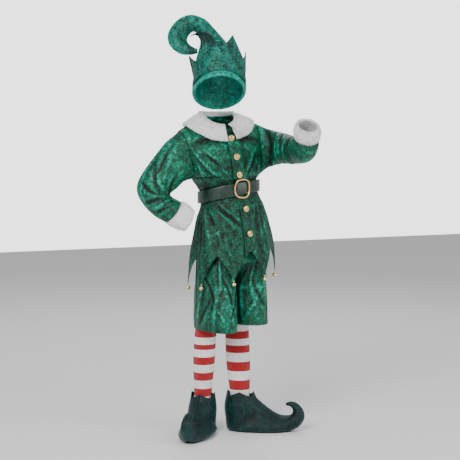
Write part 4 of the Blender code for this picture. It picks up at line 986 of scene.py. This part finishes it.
def stocking_grid(side, table, columns=160):
    """A knitted tube down the leg and round the foot, with fine ribs; also each row's stripe number."""
    turn = np.linspace(0, 2 * math.pi, columns, endpoint=False)
    (ax, ay), heading = SHOES[side]
    rings = []
    c, s = math.cos(heading), math.sin(heading)
    for at in np.linspace(0, len(table) - 1, 100):
        across, toward, up, width, depth = spline(at, table)
        along, wide = np.cos(turn) * depth, np.sin(turn) * width
        x = across + along * c - wide * s
        y = toward + along * s + wide * c
        rings.append(from_limb(np.stack([x, y, np.full(columns, up)], -1)))
    for tf, tu, lf, lu, width in spline(np.linspace(0, len(FOOT) - 1, 30), FOOT):
        middle = np.array([(tf + lf) / 2, 0, (tu + lu) / 2])
        half = np.array([(tf - lf) / 2, 0, (tu - lu) / 2])
        ring = middle + np.cos(turn)[:, None] * half + np.sin(turn)[:, None] * np.array([0, width, 0])
        rings.append(foot_frame(side, ring))
    tube = np.array(rings)
    first, edges = STRIPES[side]
    heights = np.concatenate([[edges[0] + 8 * STRIPE], edges, [edges[-1] - 8 * STRIPE]])
    marks = np.concatenate([[-7], np.arange(1, len(edges) + 1), [len(edges) + 8]]) + first + 20
    stripes = np.interp(-tube[..., 2], -heights, marks)
    tube = tube + spokes(tube) * (0.00035 * np.cos(turn * RIBS))[None, :, None]
    return tube, stripes


def hat_grids():
    """Front and back halves of the crown with its curl, as one tube cut in two."""
    rows, columns = 170, 96
    tube, _ = ring_tube(HAT, rows, columns)
    tube = tube + spokes(tube) * (relief(tube, True, HAT_CREASES) * np.minimum(1, np.linspace(0, 14, rows))[:, None])[..., None]
    # the lower edge reaches down into the rolled rim
    reach = tube[1:2] - tube[0:1]
    reach /= np.linalg.norm(reach, axis=-1, keepdims=True)
    tube = tube - reach * 0.0070 * (1 - smooth(np.linspace(0, 12, rows)))[:, None, None]
    normals = tube_normals(tube)
    half = columns // 2
    for name, first in (("hat_front", 0), ("hat_back", half)):
        take = [(first + k) % columns for k in range(half + 1)]
        shift = (from_limb(np.array([0, 1.0, 0])) - from_limb(np.zeros(3))) * (1 if first == 0 else -1) * 0.0004
        yield name, tube[:, take] + shift, normals[:, take]


BENT_POINT = 120
BENT_LENGTH = 0.050
BEND_HEIGHT = 0.098
BEND_RADIUS = 0.026


def band_grids():
    """The turned-up band with its six points, and the rim's path. One point is longer and bends to the
    side: above a height its length is carried round an arc."""
    turns, rows = 288, 40
    ring, psi = ring_tube(HAT[:3], 3, turns)
    spoke = spokes(ring)
    up = ring[1] - ring[0]
    up /= np.linalg.norm(up, axis=-1, keepdims=True)
    step = 360 / BAND_POINTS
    off = np.abs(((np.degrees(psi) - 90) % step) - step / 2) / (step / 2)
    point = POINT_HEIGHT * (1 - off) ** 1.2
    bent = np.abs((np.degrees(psi) - BENT_POINT + 180) % 360 - 180) < step / 2
    share = np.linspace(0, 1, rows)[:, None]
    lift = share * (BAND_HEIGHT + point + BENT_LENGTH * bent * (1 - off) ** 1.2)[None] + 0.004
    arc = np.maximum(lift - BEND_HEIGHT, 0) * bent[None] / BEND_RADIUS
    lift = np.where(arc > 0, BEND_HEIGHT + BEND_RADIUS * np.sin(arc), lift)
    aside = BEND_RADIUS * (1 - np.cos(arc))
    bend = 0.16 - 0.16 * np.cos(psi)
    flare = 0.0065 + 0.008 * share**2 + (bend * point)[None] * share**4 + 0.010 * np.maximum(0, -np.sin(psi)) * share**2
    crease = 0.0012 * np.sin(70 * lift + 3 * np.sin(3 * psi)[None]) * smooth(share * 6)
    band = ring[0][None] + up[None] * lift[..., None] + spoke[0][None] * (flare + crease)[..., None]
    band = band - from_limb(np.array([1.0, 0.0, 0.0])) * aside[..., None]
    rim = ring[0] - up * 0.0080 - spoke[0] * 0.0005
    return band, rim


def node(tree, kind, values=(), **settings):
    """A shader node with its settings and the values of its named inputs."""
    made = tree.nodes.new(kind)
    for key, value in settings.items():
        setattr(made, key, value)
    for key, value in dict(values).items():
        made.inputs[key].default_value = value
    return made


def math_node(tree, operation, first, second=None):
    """A Math node whose inputs are sockets or numbers; gives its output."""
    made = node(tree, "ShaderNodeMath", operation=operation)
    for slot_number, value in enumerate((first, second)):
        if isinstance(value, bpy.types.NodeSocket):
            tree.links.new(value, made.inputs[slot_number])
        elif value is not None:
            made.inputs[slot_number].default_value = value
    return made.outputs[0]


def blend(tree, share, first, second):
    """A colour mixed from two, by a share from 0 to 1."""
    made = node(tree, "ShaderNodeMix", data_type="RGBA")
    tree.links.new(share, made.inputs["Factor"])
    for key, value in ((6, first), (7, second)):
        if isinstance(value, bpy.types.NodeSocket):
            tree.links.new(value, made.inputs[key])
        else:
            made.inputs[key].default_value = value
    return made.outputs[2]


def step_between(tree, value, low, high):
    """A smooth step of a value between two limits."""
    made = node(tree, "ShaderNodeMapRange", {"From Min": low, "From Max": high}, interpolation_type="SMOOTHSTEP")
    tree.links.new(value, made.inputs["Value"])
    return made.outputs["Result"]


def new_group(name, inputs, outputs):
    """An empty node group with its named sockets."""
    tree = bpy.data.node_groups.new(name, "ShaderNodeTree")
    for label, kind, value in inputs:
        made = tree.interface.new_socket(label, in_out="INPUT", socket_type=kind)
        made.default_value = value
    for label, kind in outputs:
        tree.interface.new_socket(label, in_out="OUTPUT", socket_type=kind)
    return tree, node(tree, "NodeGroupInput"), node(tree, "NodeGroupOutput")


def noise(tree, scale, detail, distortion, stretch=(1, 1, 1)):
    """Noise on object coordinates, which may be stretched."""
    where = node(tree, "ShaderNodeTexCoord")
    turn = node(tree, "ShaderNodeMapping", {"Scale": stretch})
    made = node(tree, "ShaderNodeTexNoise", {"Detail": detail, "Distortion": distortion})
    tree.links.new(where.outputs["Object"], turn.inputs["Vector"])
    tree.links.new(turn.outputs["Vector"], made.inputs["Vector"])
    if isinstance(scale, bpy.types.NodeSocket):
        tree.links.new(scale, made.inputs["Scale"])
    else:
        made.inputs["Scale"].default_value = scale
    return made.outputs["Fac"]


def crushed_pile_group():
    """Crushed pile: crooked patches where the pile lies towards or away from the light, with a mottle; with the fold
    attribute they set painted shade in the fold troughs and a painted sheen on the crests.
    """
    tree, given, put = new_group("crushed_pile", [
        ("Painted Shade Color", "NodeSocketColor", (0, 0.01, 0.01, 1)),
        ("Pile Color", "NodeSocketColor", (0, 0.1, 0.1, 1)),
        ("Painted Sheen Color", "NodeSocketColor", (0, 0.3, 0.3, 1)),
        ("Scale", "NodeSocketFloat", 20.0),
    ], [("Color", "NodeSocketColor"), ("Roughness", "NodeSocketFloat"), ("Height", "NodeSocketFloat")])
    patches = noise(tree, given.outputs["Scale"], 3.0, 1.8, (1.0, 1.0, 0.62))
    mottle = noise(tree, math_node(tree, "MULTIPLY", given.outputs["Scale"], 4.5), 4.0, 0.8)
    grain = noise(tree, 900.0, 2.0, 0.0)
    fold = node(tree, "ShaderNodeAttribute", attribute_name="fold").outputs["Fac"]
    cloud = math_node(tree, "ADD", math_node(tree, "MULTIPLY", patches, 0.40), math_node(tree, "MULTIPLY", mottle, 0.60))
    # the fold attribute darkens the troughs and lightens the crests: painted shade and painted sheen
    both = math_node(tree, "ADD", cloud, math_node(tree, "MULTIPLY", fold, 0.19))
    # painted shade: the lowest values take the near-black shade colour
    dark = blend(tree, step_between(tree, both, 0.39, 0.61), given.outputs["Painted Shade Color"], given.outputs["Pile Color"])
    # painted sheen: the highest values take the bright sheen colour
    with_painted_sheen = blend(tree, step_between(tree, both, 0.59, 0.80), dark, given.outputs["Painted Sheen Color"])
    tree.links.new(with_painted_sheen, put.inputs["Color"])
    rough = math_node(tree, "SUBTRACT", 0.72, math_node(tree, "MULTIPLY", both, 0.45))
    tree.links.new(rough, put.inputs["Roughness"])
    height = math_node(tree, "ADD", both, math_node(tree, "MULTIPLY", grain, 0.12))
    tree.links.new(height, put.inputs["Height"])
    return tree


def worn_metal_group():
    """Handled metal: faint clouds that change its colour and roughness, with fine scratches."""
    tree, given, put = new_group("handled_metal", [
        ("Metal Color", "NodeSocketColor", (0.8, 0.6, 0.2, 1)),
        ("Dull Color", "NodeSocketColor", (0.4, 0.25, 0.1, 1)),
    ], [("Color", "NodeSocketColor"), ("Roughness", "NodeSocketFloat"), ("Height", "NodeSocketFloat")])
    clouds = noise(tree, 160.0, 4.0, 0.6)
    scratches = noise(tree, 700.0, 2.0, 0.0, (0.15, 1.0, 1.0))
    share = step_between(tree, clouds, 0.45, 0.75)
    tree.links.new(blend(tree, share, given.outputs["Metal Color"], given.outputs["Dull Color"]), put.inputs["Color"])
    rough = math_node(tree, "ADD", 0.16, math_node(tree, "MULTIPLY", clouds, 0.22))
    tree.links.new(rough, put.inputs["Roughness"])
    tree.links.new(scratches, put.inputs["Height"])
    return tree


def material_with(name, **constants):
    """A material whose Principled shader has the given constants; gives the material, tree and shader."""
    made = bpy.data.materials.new(f"{name}_look")
    made.use_nodes = True
    tree = made.node_tree
    shader = tree.nodes["Principled BSDF"]
    for key, value in constants.items():
        shader.inputs[key.replace("_", " ")].default_value = value
    return made, tree, shader


def relief_into(tree, shader, height, distance, strength=1.0):
    """Bump from a height into the shader's normal."""
    bump = node(tree, "ShaderNodeBump", {"Distance": distance, "Strength": strength})
    tree.links.new(height, bump.inputs["Height"])
    tree.links.new(bump.outputs["Normal"], shader.inputs["Normal"])


def pile_material(name, trough, pile, painted_sheen, scale, sheen, tint):
    """Velvet of one colour, with a near-black painted shade colour for its troughs and a bright painted sheen colour
    for its crests.
    """
    made, tree, shader = material_with(
        name, Sheen_Weight=sheen, Sheen_Roughness=0.35, Sheen_Tint=tint, Specular_IOR_Level=0.3)
    group = node(tree, "ShaderNodeGroup", node_tree=bpy.data.node_groups["crushed_pile"])
    # the trough colour is painted shade, the third colour a painted sheen
    group.inputs["Painted Shade Color"].default_value = trough
    group.inputs["Pile Color"].default_value = pile
    group.inputs["Painted Sheen Color"].default_value = painted_sheen
    group.inputs["Scale"].default_value = scale
    tree.links.new(group.outputs["Color"], shader.inputs["Base Color"])
    tree.links.new(group.outputs["Roughness"], shader.inputs["Roughness"])
    relief_into(tree, shader, group.outputs["Height"], 0.0030)
    made.diffuse_color = pile
    return made


def plush_material(colour):
    """White plush with painted grey shade in its hollows and a fine tufted relief."""
    made, tree, shader = material_with("plush", Sheen_Weight=0.5, Sheen_Roughness=0.6, Roughness=0.95)
    tufts = noise(tree, 260.0, 4.0, 0.5)
    lumps = noise(tree, 60.0, 3.0, 0.4)
    # painted shade: the low parts of the tufted relief are darkened to grey
    hollow = tuple(0.72 * c for c in colour[:3]) + (1,)
    shade = blend(tree, step_between(tree, math_node(tree, "ADD", tufts, lumps), 0.70, 1.05), hollow, tuple(colour))
    tree.links.new(shade, shader.inputs["Base Color"])
    relief_into(tree, shader, math_node(tree, "ADD", tufts, lumps), 0.0025)
    return made


def knit_material(red, white):
    """Ribbed knit: the map's u counts ribs and v counts stripes, every second stripe red; the rib troughs and stitch
    rows carry painted shade.
    """
    made, tree, shader = material_with("stocking_knit", Sheen_Weight=0.25, Sheen_Roughness=0.5, Roughness=0.85)
    where = node(tree, "ShaderNodeUVMap", uv_map="cloth")
    split = node(tree, "ShaderNodeSeparateXYZ")
    tree.links.new(where.outputs["UV"], split.inputs[0])
    turn = math_node(tree, "MULTIPLY", split.outputs["X"], 2 * math.pi)
    rib = math_node(tree, "ADD", 0.5, math_node(tree, "MULTIPLY", math_node(tree, "COSINE", turn), 0.5))
    rows = math_node(tree, "MULTIPLY", split.outputs["Y"], 14 * math.pi)
    stitch = math_node(tree, "ABSOLUTE", math_node(tree, "SINE", rows))
    odd = math_node(tree, "MODULO", math_node(tree, "FLOOR", split.outputs["Y"]), 2.0)
    colour = blend(tree, odd, tuple(red), tuple(white))
    fuzz = noise(tree, 500.0, 3.0, 0.3)
    level = math_node(tree, "ADD", rib, math_node(tree, "MULTIPLY", stitch, 0.35))
    # painted shade: the stripe colour is darkened in the rib troughs and between the stitch rows
    shade = blend(tree, step_between(tree, level, 0.0, 0.7), (0.62, 0.60, 0.60, 1), (1, 1, 1, 1))
    rib_shaded = node(tree, "ShaderNodeMix", data_type="RGBA", blend_type="MULTIPLY")
    rib_shaded.inputs["Factor"].default_value = 1.0
    tree.links.new(colour, rib_shaded.inputs[6])
    tree.links.new(shade, rib_shaded.inputs[7])
    tree.links.new(rib_shaded.outputs[2], shader.inputs["Base Color"])
    relief_into(tree, shader, math_node(tree, "ADD", level, math_node(tree, "MULTIPLY", fuzz, 0.2)), 0.0008)
    return made


def patent_material(colour):
    """Patent strap: glossy coat over a faintly crazed grain, with painted shade in its creases where the relief is low.
    """
    made, tree, shader = material_with("belt_leather", Coat_Weight=0.7, Coat_Roughness=0.12)
    grain = noise(tree, 220.0, 5.0, 0.8)
    cloud = noise(tree, 30.0, 3.0, 0.5)
    # painted shade: darker where the cloud relief is low, in its creases
    dark = tuple(0.35 * c for c in colour[:3]) + (1,)
    tree.links.new(blend(tree, step_between(tree, cloud, 0.35, 0.62), dark, tuple(colour)), shader.inputs["Base Color"])
    rough = math_node(tree, "ADD", 0.24, math_node(tree, "MULTIPLY", grain, 0.2))
    tree.links.new(rough, shader.inputs["Roughness"])
    relief_into(tree, shader, math_node(tree, "ADD", grain, cloud), 0.0012)
    return made


def gold_material(name, metal, dull):
    """Gilt metal."""
    made, tree, shader = material_with(name, Metallic=1.0)
    group = node(tree, "ShaderNodeGroup", node_tree=bpy.data.node_groups["handled_metal"])
    group.inputs["Metal Color"].default_value = metal
    group.inputs["Dull Color"].default_value = dull
    tree.links.new(group.outputs["Color"], shader.inputs["Base Color"])
    tree.links.new(group.outputs["Roughness"], shader.inputs["Roughness"])
    relief_into(tree, shader, group.outputs["Height"], 0.0001)
    return made


def make_materials(looks):
    """All of the costume's materials, in the colours of the settings."""
    crushed_pile_group()
    worn_metal_group()
    # each velvet: painted shade colour (near-black), its own pile colour, painted sheen colour (bright), then pattern
    # scale, sheen weight and sheen tint
    pile_material("velvet", (0.0, 0.004, 0.003, 1), looks.velvet, (0.0, 0.380, 0.250, 1), 34.0, 0.05,
                  (0.25, 0.80, 0.70, 1))
    pile_material("hat_velvet", (0.0, 0.026, 0.020, 1), looks.hat_velvet, (0.0, 0.46, 0.36, 1), 36.0, 0.05,
                  (0.35, 0.85, 0.80, 1))
    pile_material("shoe_velvet", (0.0, 0.006, 0.006, 1), looks.shoe_velvet, (0.004, 0.070, 0.066, 1), 40.0, 0.14,
                  (0.25, 0.70, 0.68, 1))
    plush_material(looks.plush)
    knit_material(looks.stripe_red, looks.stripe_white)
    patent_material(looks.strap)
    gold_material("gold_metal", looks.gilt, (0.45, 0.27, 0.10, 1))
    gold_material("bell_metal", (0.90, 0.74, 0.42, 1), (0.50, 0.36, 0.16, 1))


def finish_of(name):
    """A finish by name, made with all the others on first use."""
    if f"{name}_look" not in bpy.data.materials:
        make_materials(bpy.context.scene.costume)
    return bpy.data.materials[f"{name}_look"]


class CostumeSettings(bpy.types.PropertyGroup):
    """Colours and sizes of the costume that can be changed."""

    velvet: bpy.props.FloatVectorProperty(
        name="Velvet", description="Colour of the tunic and knickers", size=4, subtype="COLOR",
        min=0, max=1, default=(0.0, 0.085, 0.043, 1))
    hat_velvet: bpy.props.FloatVectorProperty(
        name="Hat velvet", description="Colour of the hat", size=4, subtype="COLOR",
        min=0, max=1, default=(0.0, 0.170, 0.118, 1))
    shoe_velvet: bpy.props.FloatVectorProperty(
        name="Shoe velvet", description="Colour of the shoes", size=4, subtype="COLOR",
        min=0, max=1, default=(0.0005, 0.024, 0.022, 1))
    plush: bpy.props.FloatVectorProperty(
        name="Plush", description="Colour of the collar and cuffs", size=4, subtype="COLOR",
        min=0, max=1, default=(0.95, 0.95, 0.94, 1))
    stripe_red: bpy.props.FloatVectorProperty(
        name="Red stripe", description="Dark stripes of the stockings", size=4, subtype="COLOR",
        min=0, max=1, default=(0.42, 0.002, 0.006, 1))
    stripe_white: bpy.props.FloatVectorProperty(
        name="White stripe", description="Light stripes of the stockings", size=4, subtype="COLOR",
        min=0, max=1, default=(0.95, 0.94, 0.93, 1))
    strap: bpy.props.FloatVectorProperty(
        name="Belt", description="Colour of the belt's strap", size=4, subtype="COLOR",
        min=0, max=1, default=(0.001, 0.035, 0.022, 1))
    gilt: bpy.props.FloatVectorProperty(
        name="Gilt", description="Colour of the buttons and buckle", size=4, subtype="COLOR",
        min=0, max=1, default=(0.86, 0.56, 0.24, 1))
    pile_length: bpy.props.FloatProperty(
        name="Pile", description="Length of the plush pile", default=0.0045, min=0.001, max=0.01, unit="LENGTH")
    key_light: bpy.props.FloatProperty(
        name="Key light", description="Strength of the main light", default=115.0, min=0.0, unit="POWER")


def cloth(name, grid, normals, closed, finish, solid, thick, held, plan=False, **layout):
    """A cloth piece on its plain solid's form, with its cut measured and not used."""
    mesh = surface_mesh(name, grid, normals, closed, **layout)
    made = piece(name, mesh, finish_of(finish), (solid,), thick)
    sheet_of(grid, closed, plan)


class COSTUME_OT_tunic(bpy.types.Operator):
    """Two fronts and a back of crushed velvet, with the pointed hem"""

    bl_idname = "costume.tunic"
    bl_label = "Tunic"

    def execute(self, context):
        for name, (grid, normals) in tunic_grids().items():
            split = grid.shape[1] // 2 - 1 if name == "tunic_back" else None
            cloth(f"{name}_velvet", grid, normals, False, "velvet", name, CLOTH, "draped", True, split=split)
        return {"FINISHED"}


class COSTUME_OT_sleeves(bpy.types.Operator):
    """Both sleeves, with their folds and creases"""

    bl_idname = "costume.sleeves"
    bl_label = "Sleeves"

    def execute(self, context):
        for side, label in ((-1, "right"), (1, "left")):
            grid = sleeve_grid(side)
            cloth(f"sleeve_{label}_velvet", grid, tube_normals(grid), True, "velvet", f"sleeve_{label}", CLOTH, "draped")
        return {"FINISHED"}


def plush_piece(name, middle, normals, loop, node_name, seed, count):
    """A plush piece of rounded section with its short pile."""
    grid, away = rounded_slab(middle, normals, PLUSH)
    grid = fluffy(grid, away, 0.0005)
    if loop:
        grid, away = closed_loop(grid), closed_loop(away)
    mesh = surface_mesh(name, grid, away, True, close_ends=not loop, weld=loop)
    made = piece(name, mesh, finish_of("plush"), (node_name,))
    pile = pile_mesh(f"{name}_pile", grid, away, count, bpy.context.scene.costume.pile_length, seed)
    tufts = piece(f"{name}_pile", pile, finish_of("plush"), ())
    sheet = closed_loop(middle) if loop else middle
    flat, area = cut_size(sheet, False)


class COSTUME_OT_collar(bpy.types.Operator):
    """Two halves of the round plush collar"""

    bl_idname = "costume.collar"
    bl_label = "Collar"

    def execute(self, context):
        tree = body_tree({name: pair for name, pair in tunic_grids().items()})
        for side, label in ((-1, "right"), (1, "left")):
            middle, normals = collar_middle(side, tree, 14, 70)
            plush_piece(f"collar_{label}_plush", middle, normals, False, f"collar_{label}", 4 + side, 26000)
        return {"FINISHED"}


class COSTUME_OT_cuffs(bpy.types.Operator):
    """The plush cuffs"""

    bl_idname = "costume.cuffs"
    bl_label = "Cuffs"

    def execute(self, context):
        for side, label, table in ((-1, "right", CUFF_RIGHT), (1, "left", CUFF_LEFT)):
            tube, _ = ring_tube(table, 14, 110)
            normals = tube_normals(tube)
            bulge = 0.003 * np.sin(np.linspace(0, math.pi, 14))[:, None, None]
            middle = (tube + normals * (bulge - PLUSH / 2)).transpose(1, 0, 2)
            plush_piece(f"cuff_{label}_plush", middle, normals.transpose(1, 0, 2), True, f"cuff_{label}", 12 + side, 16000)
        return {"FINISHED"}


class COSTUME_OT_buttons(bpy.types.Operator):
    """Five domed gilt buttons down the lap"""

    bl_idname = "costume.buttons"
    bl_label = "Buttons"

    def execute(self, context):
        for number, _ in enumerate(BUTTON_HEIGHTS, 1):
            low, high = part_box(f"button_{number}")
            middle = (np.array(low) + np.array(high)) / 2 + np.array([0, 0, SHOULDER_HEIGHT])
            lean = np.array([BUTTON_LEAN * (middle[0] - BODY_MIDDLE), -1.0, 0.0])
            lean /= np.linalg.norm(lean)
            base = middle - lean * 0.075 * BUTTON_WIDTH
            grid, away = turned(BUTTON_PROFILE * BUTTON_WIDTH, base, lean, 64)
            mesh = surface_mesh(f"button_{number}_gilt", grid, away, True, close_ends=True)
            piece(f"button_{number}_gilt", mesh, finish_of("gold_metal"), (f"button_{number}",))
        return {"FINISHED"}


class COSTUME_OT_bells(bpy.types.Operator):
    """A bell at each point of the hem"""

    bl_idname = "costume.bells"
    bl_label = "Bells"

    def execute(self, context):
        for number in range(1, TABS + 1):
            low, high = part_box(f"bell_{number}")
            top = [(low[0] + high[0]) / 2, (low[1] + high[1]) / 2, high[2] + 0.0005 + SHOULDER_HEIGHT]
            grid, away = turned(bell_profile(BELL_WIDTH / 2), top, (0, 0, 1), 48)
            slit = np.exp(-(((grid[..., 0] - top[0]) / 0.0009) ** 2)) * (grid[..., 2] < top[2] - 0.0150)
            grid[..., 2] += 0.0016 * slit
            mesh = surface_mesh(f"bell_{number}_gilt", grid, away, True, close_ends=True)
            piece(f"bell_{number}_gilt", mesh, finish_of("bell_metal"), (f"bell_{number}",))
        return {"FINISHED"}


class COSTUME_OT_belt(bpy.types.Operator):
    """The patent strap and its ring buckle"""

    bl_idname = "costume.belt"
    bl_label = "Belt"

    def execute(self, context):
        angles = np.linspace(0, 360, 240, endpoint=False)
        rows = []
        for offset in np.linspace(-0.5, 0.5, 8) * BELT_WIDTH:
            ring = body_points(angles, BELT_HEIGHT, BELT_LIFT)
            ring[:, 2] += offset
            rows.append(ring)
        band = np.array(rows)
        normals = tube_normals(band)
        middle = (band + normals * BELT_THICK / 2).transpose(1, 0, 2)
        grid, away = rounded_slab(middle, normals.transpose(1, 0, 2), BELT_THICK, 28, 0.35)
        mesh = surface_mesh("belt_patent", closed_loop(grid), closed_loop(away), True, weld=True)
        strap = piece("belt_patent", mesh, finish_of("belt_leather"), ("belt_strap",))
        sheet_of(closed_loop(middle), False)
        ring, away = buckle_grid()
        mesh = surface_mesh("buckle_gilt", closed_loop(ring), closed_loop(away), True, weld=True)
        piece("buckle_gilt", mesh, finish_of("gold_metal"), ("buckle",))
        return {"FINISHED"}


class COSTUME_OT_knickers(bpy.types.Operator):
    """Both halves of the knickers, and their waistband"""

    bl_idname = "costume.knickers"
    bl_label = "Knickers"

    def execute(self, context):
        for side, label in ((-1, "right"), (1, "left")):
            grid, normals = knicker_grid(side)
            cloth(f"knickers_{label}_velvet", grid, normals, False, "velvet", f"knickers_{label}", CLOTH, "hung")
        angles = np.linspace(0, 360, 160, endpoint=False)
        rows = []
        for height in np.linspace(0.7575, 0.790, 6):
            ring = body_points(angles, height, -KNICKERS_EASE, folded=False)
            ring[:, 2] = height
            rows.append(ring)
        band = np.array(rows)
        cloth("waistband_velvet", band, tube_normals(band), True, "velvet", "knickers_waistband", 0.003, "gathered")
        return {"FINISHED"}


class COSTUME_OT_stockings(bpy.types.Operator):
    """Striped ribbed stockings"""

    bl_idname = "costume.stockings"
    bl_label = "Stockings"

    def execute(self, context):
        for label, table in (("right", STOCKING_RIGHT), ("left", STOCKING_LEFT)):
            grid, stripes = stocking_grid(label, table)
            cloth(f"stocking_{label}_knit", grid, tube_normals(grid), True, "stocking_knit", f"stocking_{label}",
                  CLOTH, "stretched", uv_rows=stripes, turns_per_round=RIBS)
        return {"FINISHED"}


class COSTUME_OT_shoes(bpy.types.Operator):
    """Curled velvet shoes, two panels on a sole each"""

    bl_idname = "costume.shoes"
    bl_label = "Shoes"

    def execute(self, context):
        for side in ("right", "left"):
            for hand, label in ((1, "outer"), (-1, "inner")):
                mirror = hand if side == "left" else -hand
                grid, normals = shoe_grid(side, mirror)
                cloth(f"shoe_{side}_{label}_velvet", grid, normals, False, "shoe_velvet", f"shoe_{side}_{label}",
                      CLOTH, "stretched")
            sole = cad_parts[f"shoe_{side}_sole"]
            sole.data.materials.clear()
            sole.data.materials.append(finish_of("shoe_velvet"))
        return {"FINISHED"}


class COSTUME_OT_hat(bpy.types.Operator):
    """The curled crown, its turned-up band and the rolled rim"""

    bl_idname = "costume.hat"
    bl_label = "Hat"

    def execute(self, context):
        for name, grid, normals in hat_grids():
            cloth(f"{name}_velvet", grid, normals, False, "hat_velvet", name, FOAM, "draped")
        band, rim = band_grids()
        cloth("hat_band_velvet", band, tube_normals(band), True, "hat_velvet", "hat_band", FOAM, "folded", True)
        ring, away = ring_section(rim, 0.0060, 0.0060)
        mesh = surface_mesh("hat_rim_velvet", closed_loop(ring), closed_loop(away), True, weld=True)
        roll = piece("hat_rim_velvet", mesh, finish_of("hat_velvet"), ("hat_rim_roll",))
        return {"FINISHED"}


def area_light(name, place, aim, size, power):
    """A soft square light that looks at a point."""
    lamp = bpy.data.lights.new(name, "AREA")
    lamp.size = size
    lamp.energy = power
    made = bpy.data.objects.new(name, lamp)
    made.location = place
    made.rotation_euler = (Vector(aim) - Vector(place)).to_track_quat("-Z", "Y").to_euler()
    bpy.context.scene.collection.objects.link(made)


CAMERA_PLACE = (-1.778, -3.584, -0.080)
CAMERA_AIM = (0.0382, -0.0195, -0.357)
CAMERA_LENS = 95.1
FLOOR_SIZE = 14.0


class COSTUME_OT_stage(bpy.types.Operator):
    """Pale floor, soft lights and the camera"""

    bl_idname = "costume.stage"
    bl_label = "Stage"

    def execute(self, context):
        half = FLOOR_SIZE / 2
        mesh = bpy.data.meshes.new("floor")
        corners = [(-half, -half), (half, -half), (half, half), (-half, half)]
        mesh.from_pydata([(x, y, -SHOULDER_HEIGHT) for x, y in corners], [], [(0, 1, 2, 3)])
        floor = bpy.data.objects.new("floor", mesh)
        made, tree, shader = material_with("pale_floor", Roughness=0.8)
        tint = blend(tree, noise(tree, 3.0, 2.0, 0.0), (0.92, 0.92, 0.92, 1), (0.96, 0.96, 0.96, 1))
        tree.links.new(tint, shader.inputs["Base Color"])
        mesh.materials.append(made)
        context.scene.collection.objects.link(floor)
        floor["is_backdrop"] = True
        power = context.scene.costume.key_light
        area_light("key", (-2.6, -2.2, 1.8), (0, 0, -0.3), 1.8, power)
        area_light("fill", (1.8, -3.0, 0.8), (0, 0, -0.4), 2.4, power * 0.45)
        area_light("back", (1.4, 2.6, 1.9), (0, 0, -0.2), 1.6, power * 0.3)
        world = bpy.data.worlds.new("studio")
        world.use_nodes = True
        tree = world.node_tree
        seen = tree.nodes["Background"]
        seen.inputs["Color"].default_value = (0.95, 0.96, 0.97, 1)
        path = node(tree, "ShaderNodeLightPath")
        glow = math_node(tree, "ADD", 0.52, math_node(tree, "MULTIPLY", path.outputs["Is Camera Ray"], 2.4))
        tree.links.new(glow, seen.inputs["Strength"])
        context.scene.world = world
        lens = bpy.data.cameras.new("camera")
        lens.lens = CAMERA_LENS
        camera = bpy.data.objects.new("camera", lens)
        camera.location = CAMERA_PLACE
        camera.rotation_euler = (Vector(CAMERA_AIM) - Vector(CAMERA_PLACE)).to_track_quat("-Z", "Y").to_euler()
        context.scene.collection.objects.link(camera)
        context.scene.camera = camera
        return {"FINISHED"}


PIECES = (
    COSTUME_OT_tunic, COSTUME_OT_sleeves, COSTUME_OT_collar, COSTUME_OT_cuffs, COSTUME_OT_buttons,
    COSTUME_OT_bells, COSTUME_OT_belt, COSTUME_OT_knickers, COSTUME_OT_stockings, COSTUME_OT_shoes,
    COSTUME_OT_hat, COSTUME_OT_stage,
)


class COSTUME_PT_panel(bpy.types.Panel):
    """The costume's settings and its pieces"""

    bl_label = "Elf Costume"
    bl_idname = "COSTUME_PT_panel"
    bl_space_type = "VIEW_3D"
    bl_region_type = "UI"
    bl_category = "Costume"

    def draw(self, context):
        for key in CostumeSettings.__annotations__:
            self.layout.prop(context.scene.costume, key)
        for operator in PIECES:
            self.layout.operator(operator.bl_idname)


def register():
    for item in (CostumeSettings, *PIECES, COSTUME_PT_panel):
        bpy.utils.register_class(item)
    bpy.types.Scene.costume = bpy.props.PointerProperty(type=CostumeSettings)


def unregister():
    del bpy.types.Scene.costume
    for item in (COSTUME_PT_panel, *reversed(PIECES), CostumeSettings):
        bpy.utils.unregister_class(item)


def main():
    """Builds every piece in order."""
    register()
    for operator in PIECES:
        getattr(bpy.ops.costume, operator.bl_idname.split(".")[1])()
    plain, dressed = ([list(map(float, corner)) for corner in box] for box in (CAD_BOX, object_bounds()))


if __name__ == "__main__":
    main()
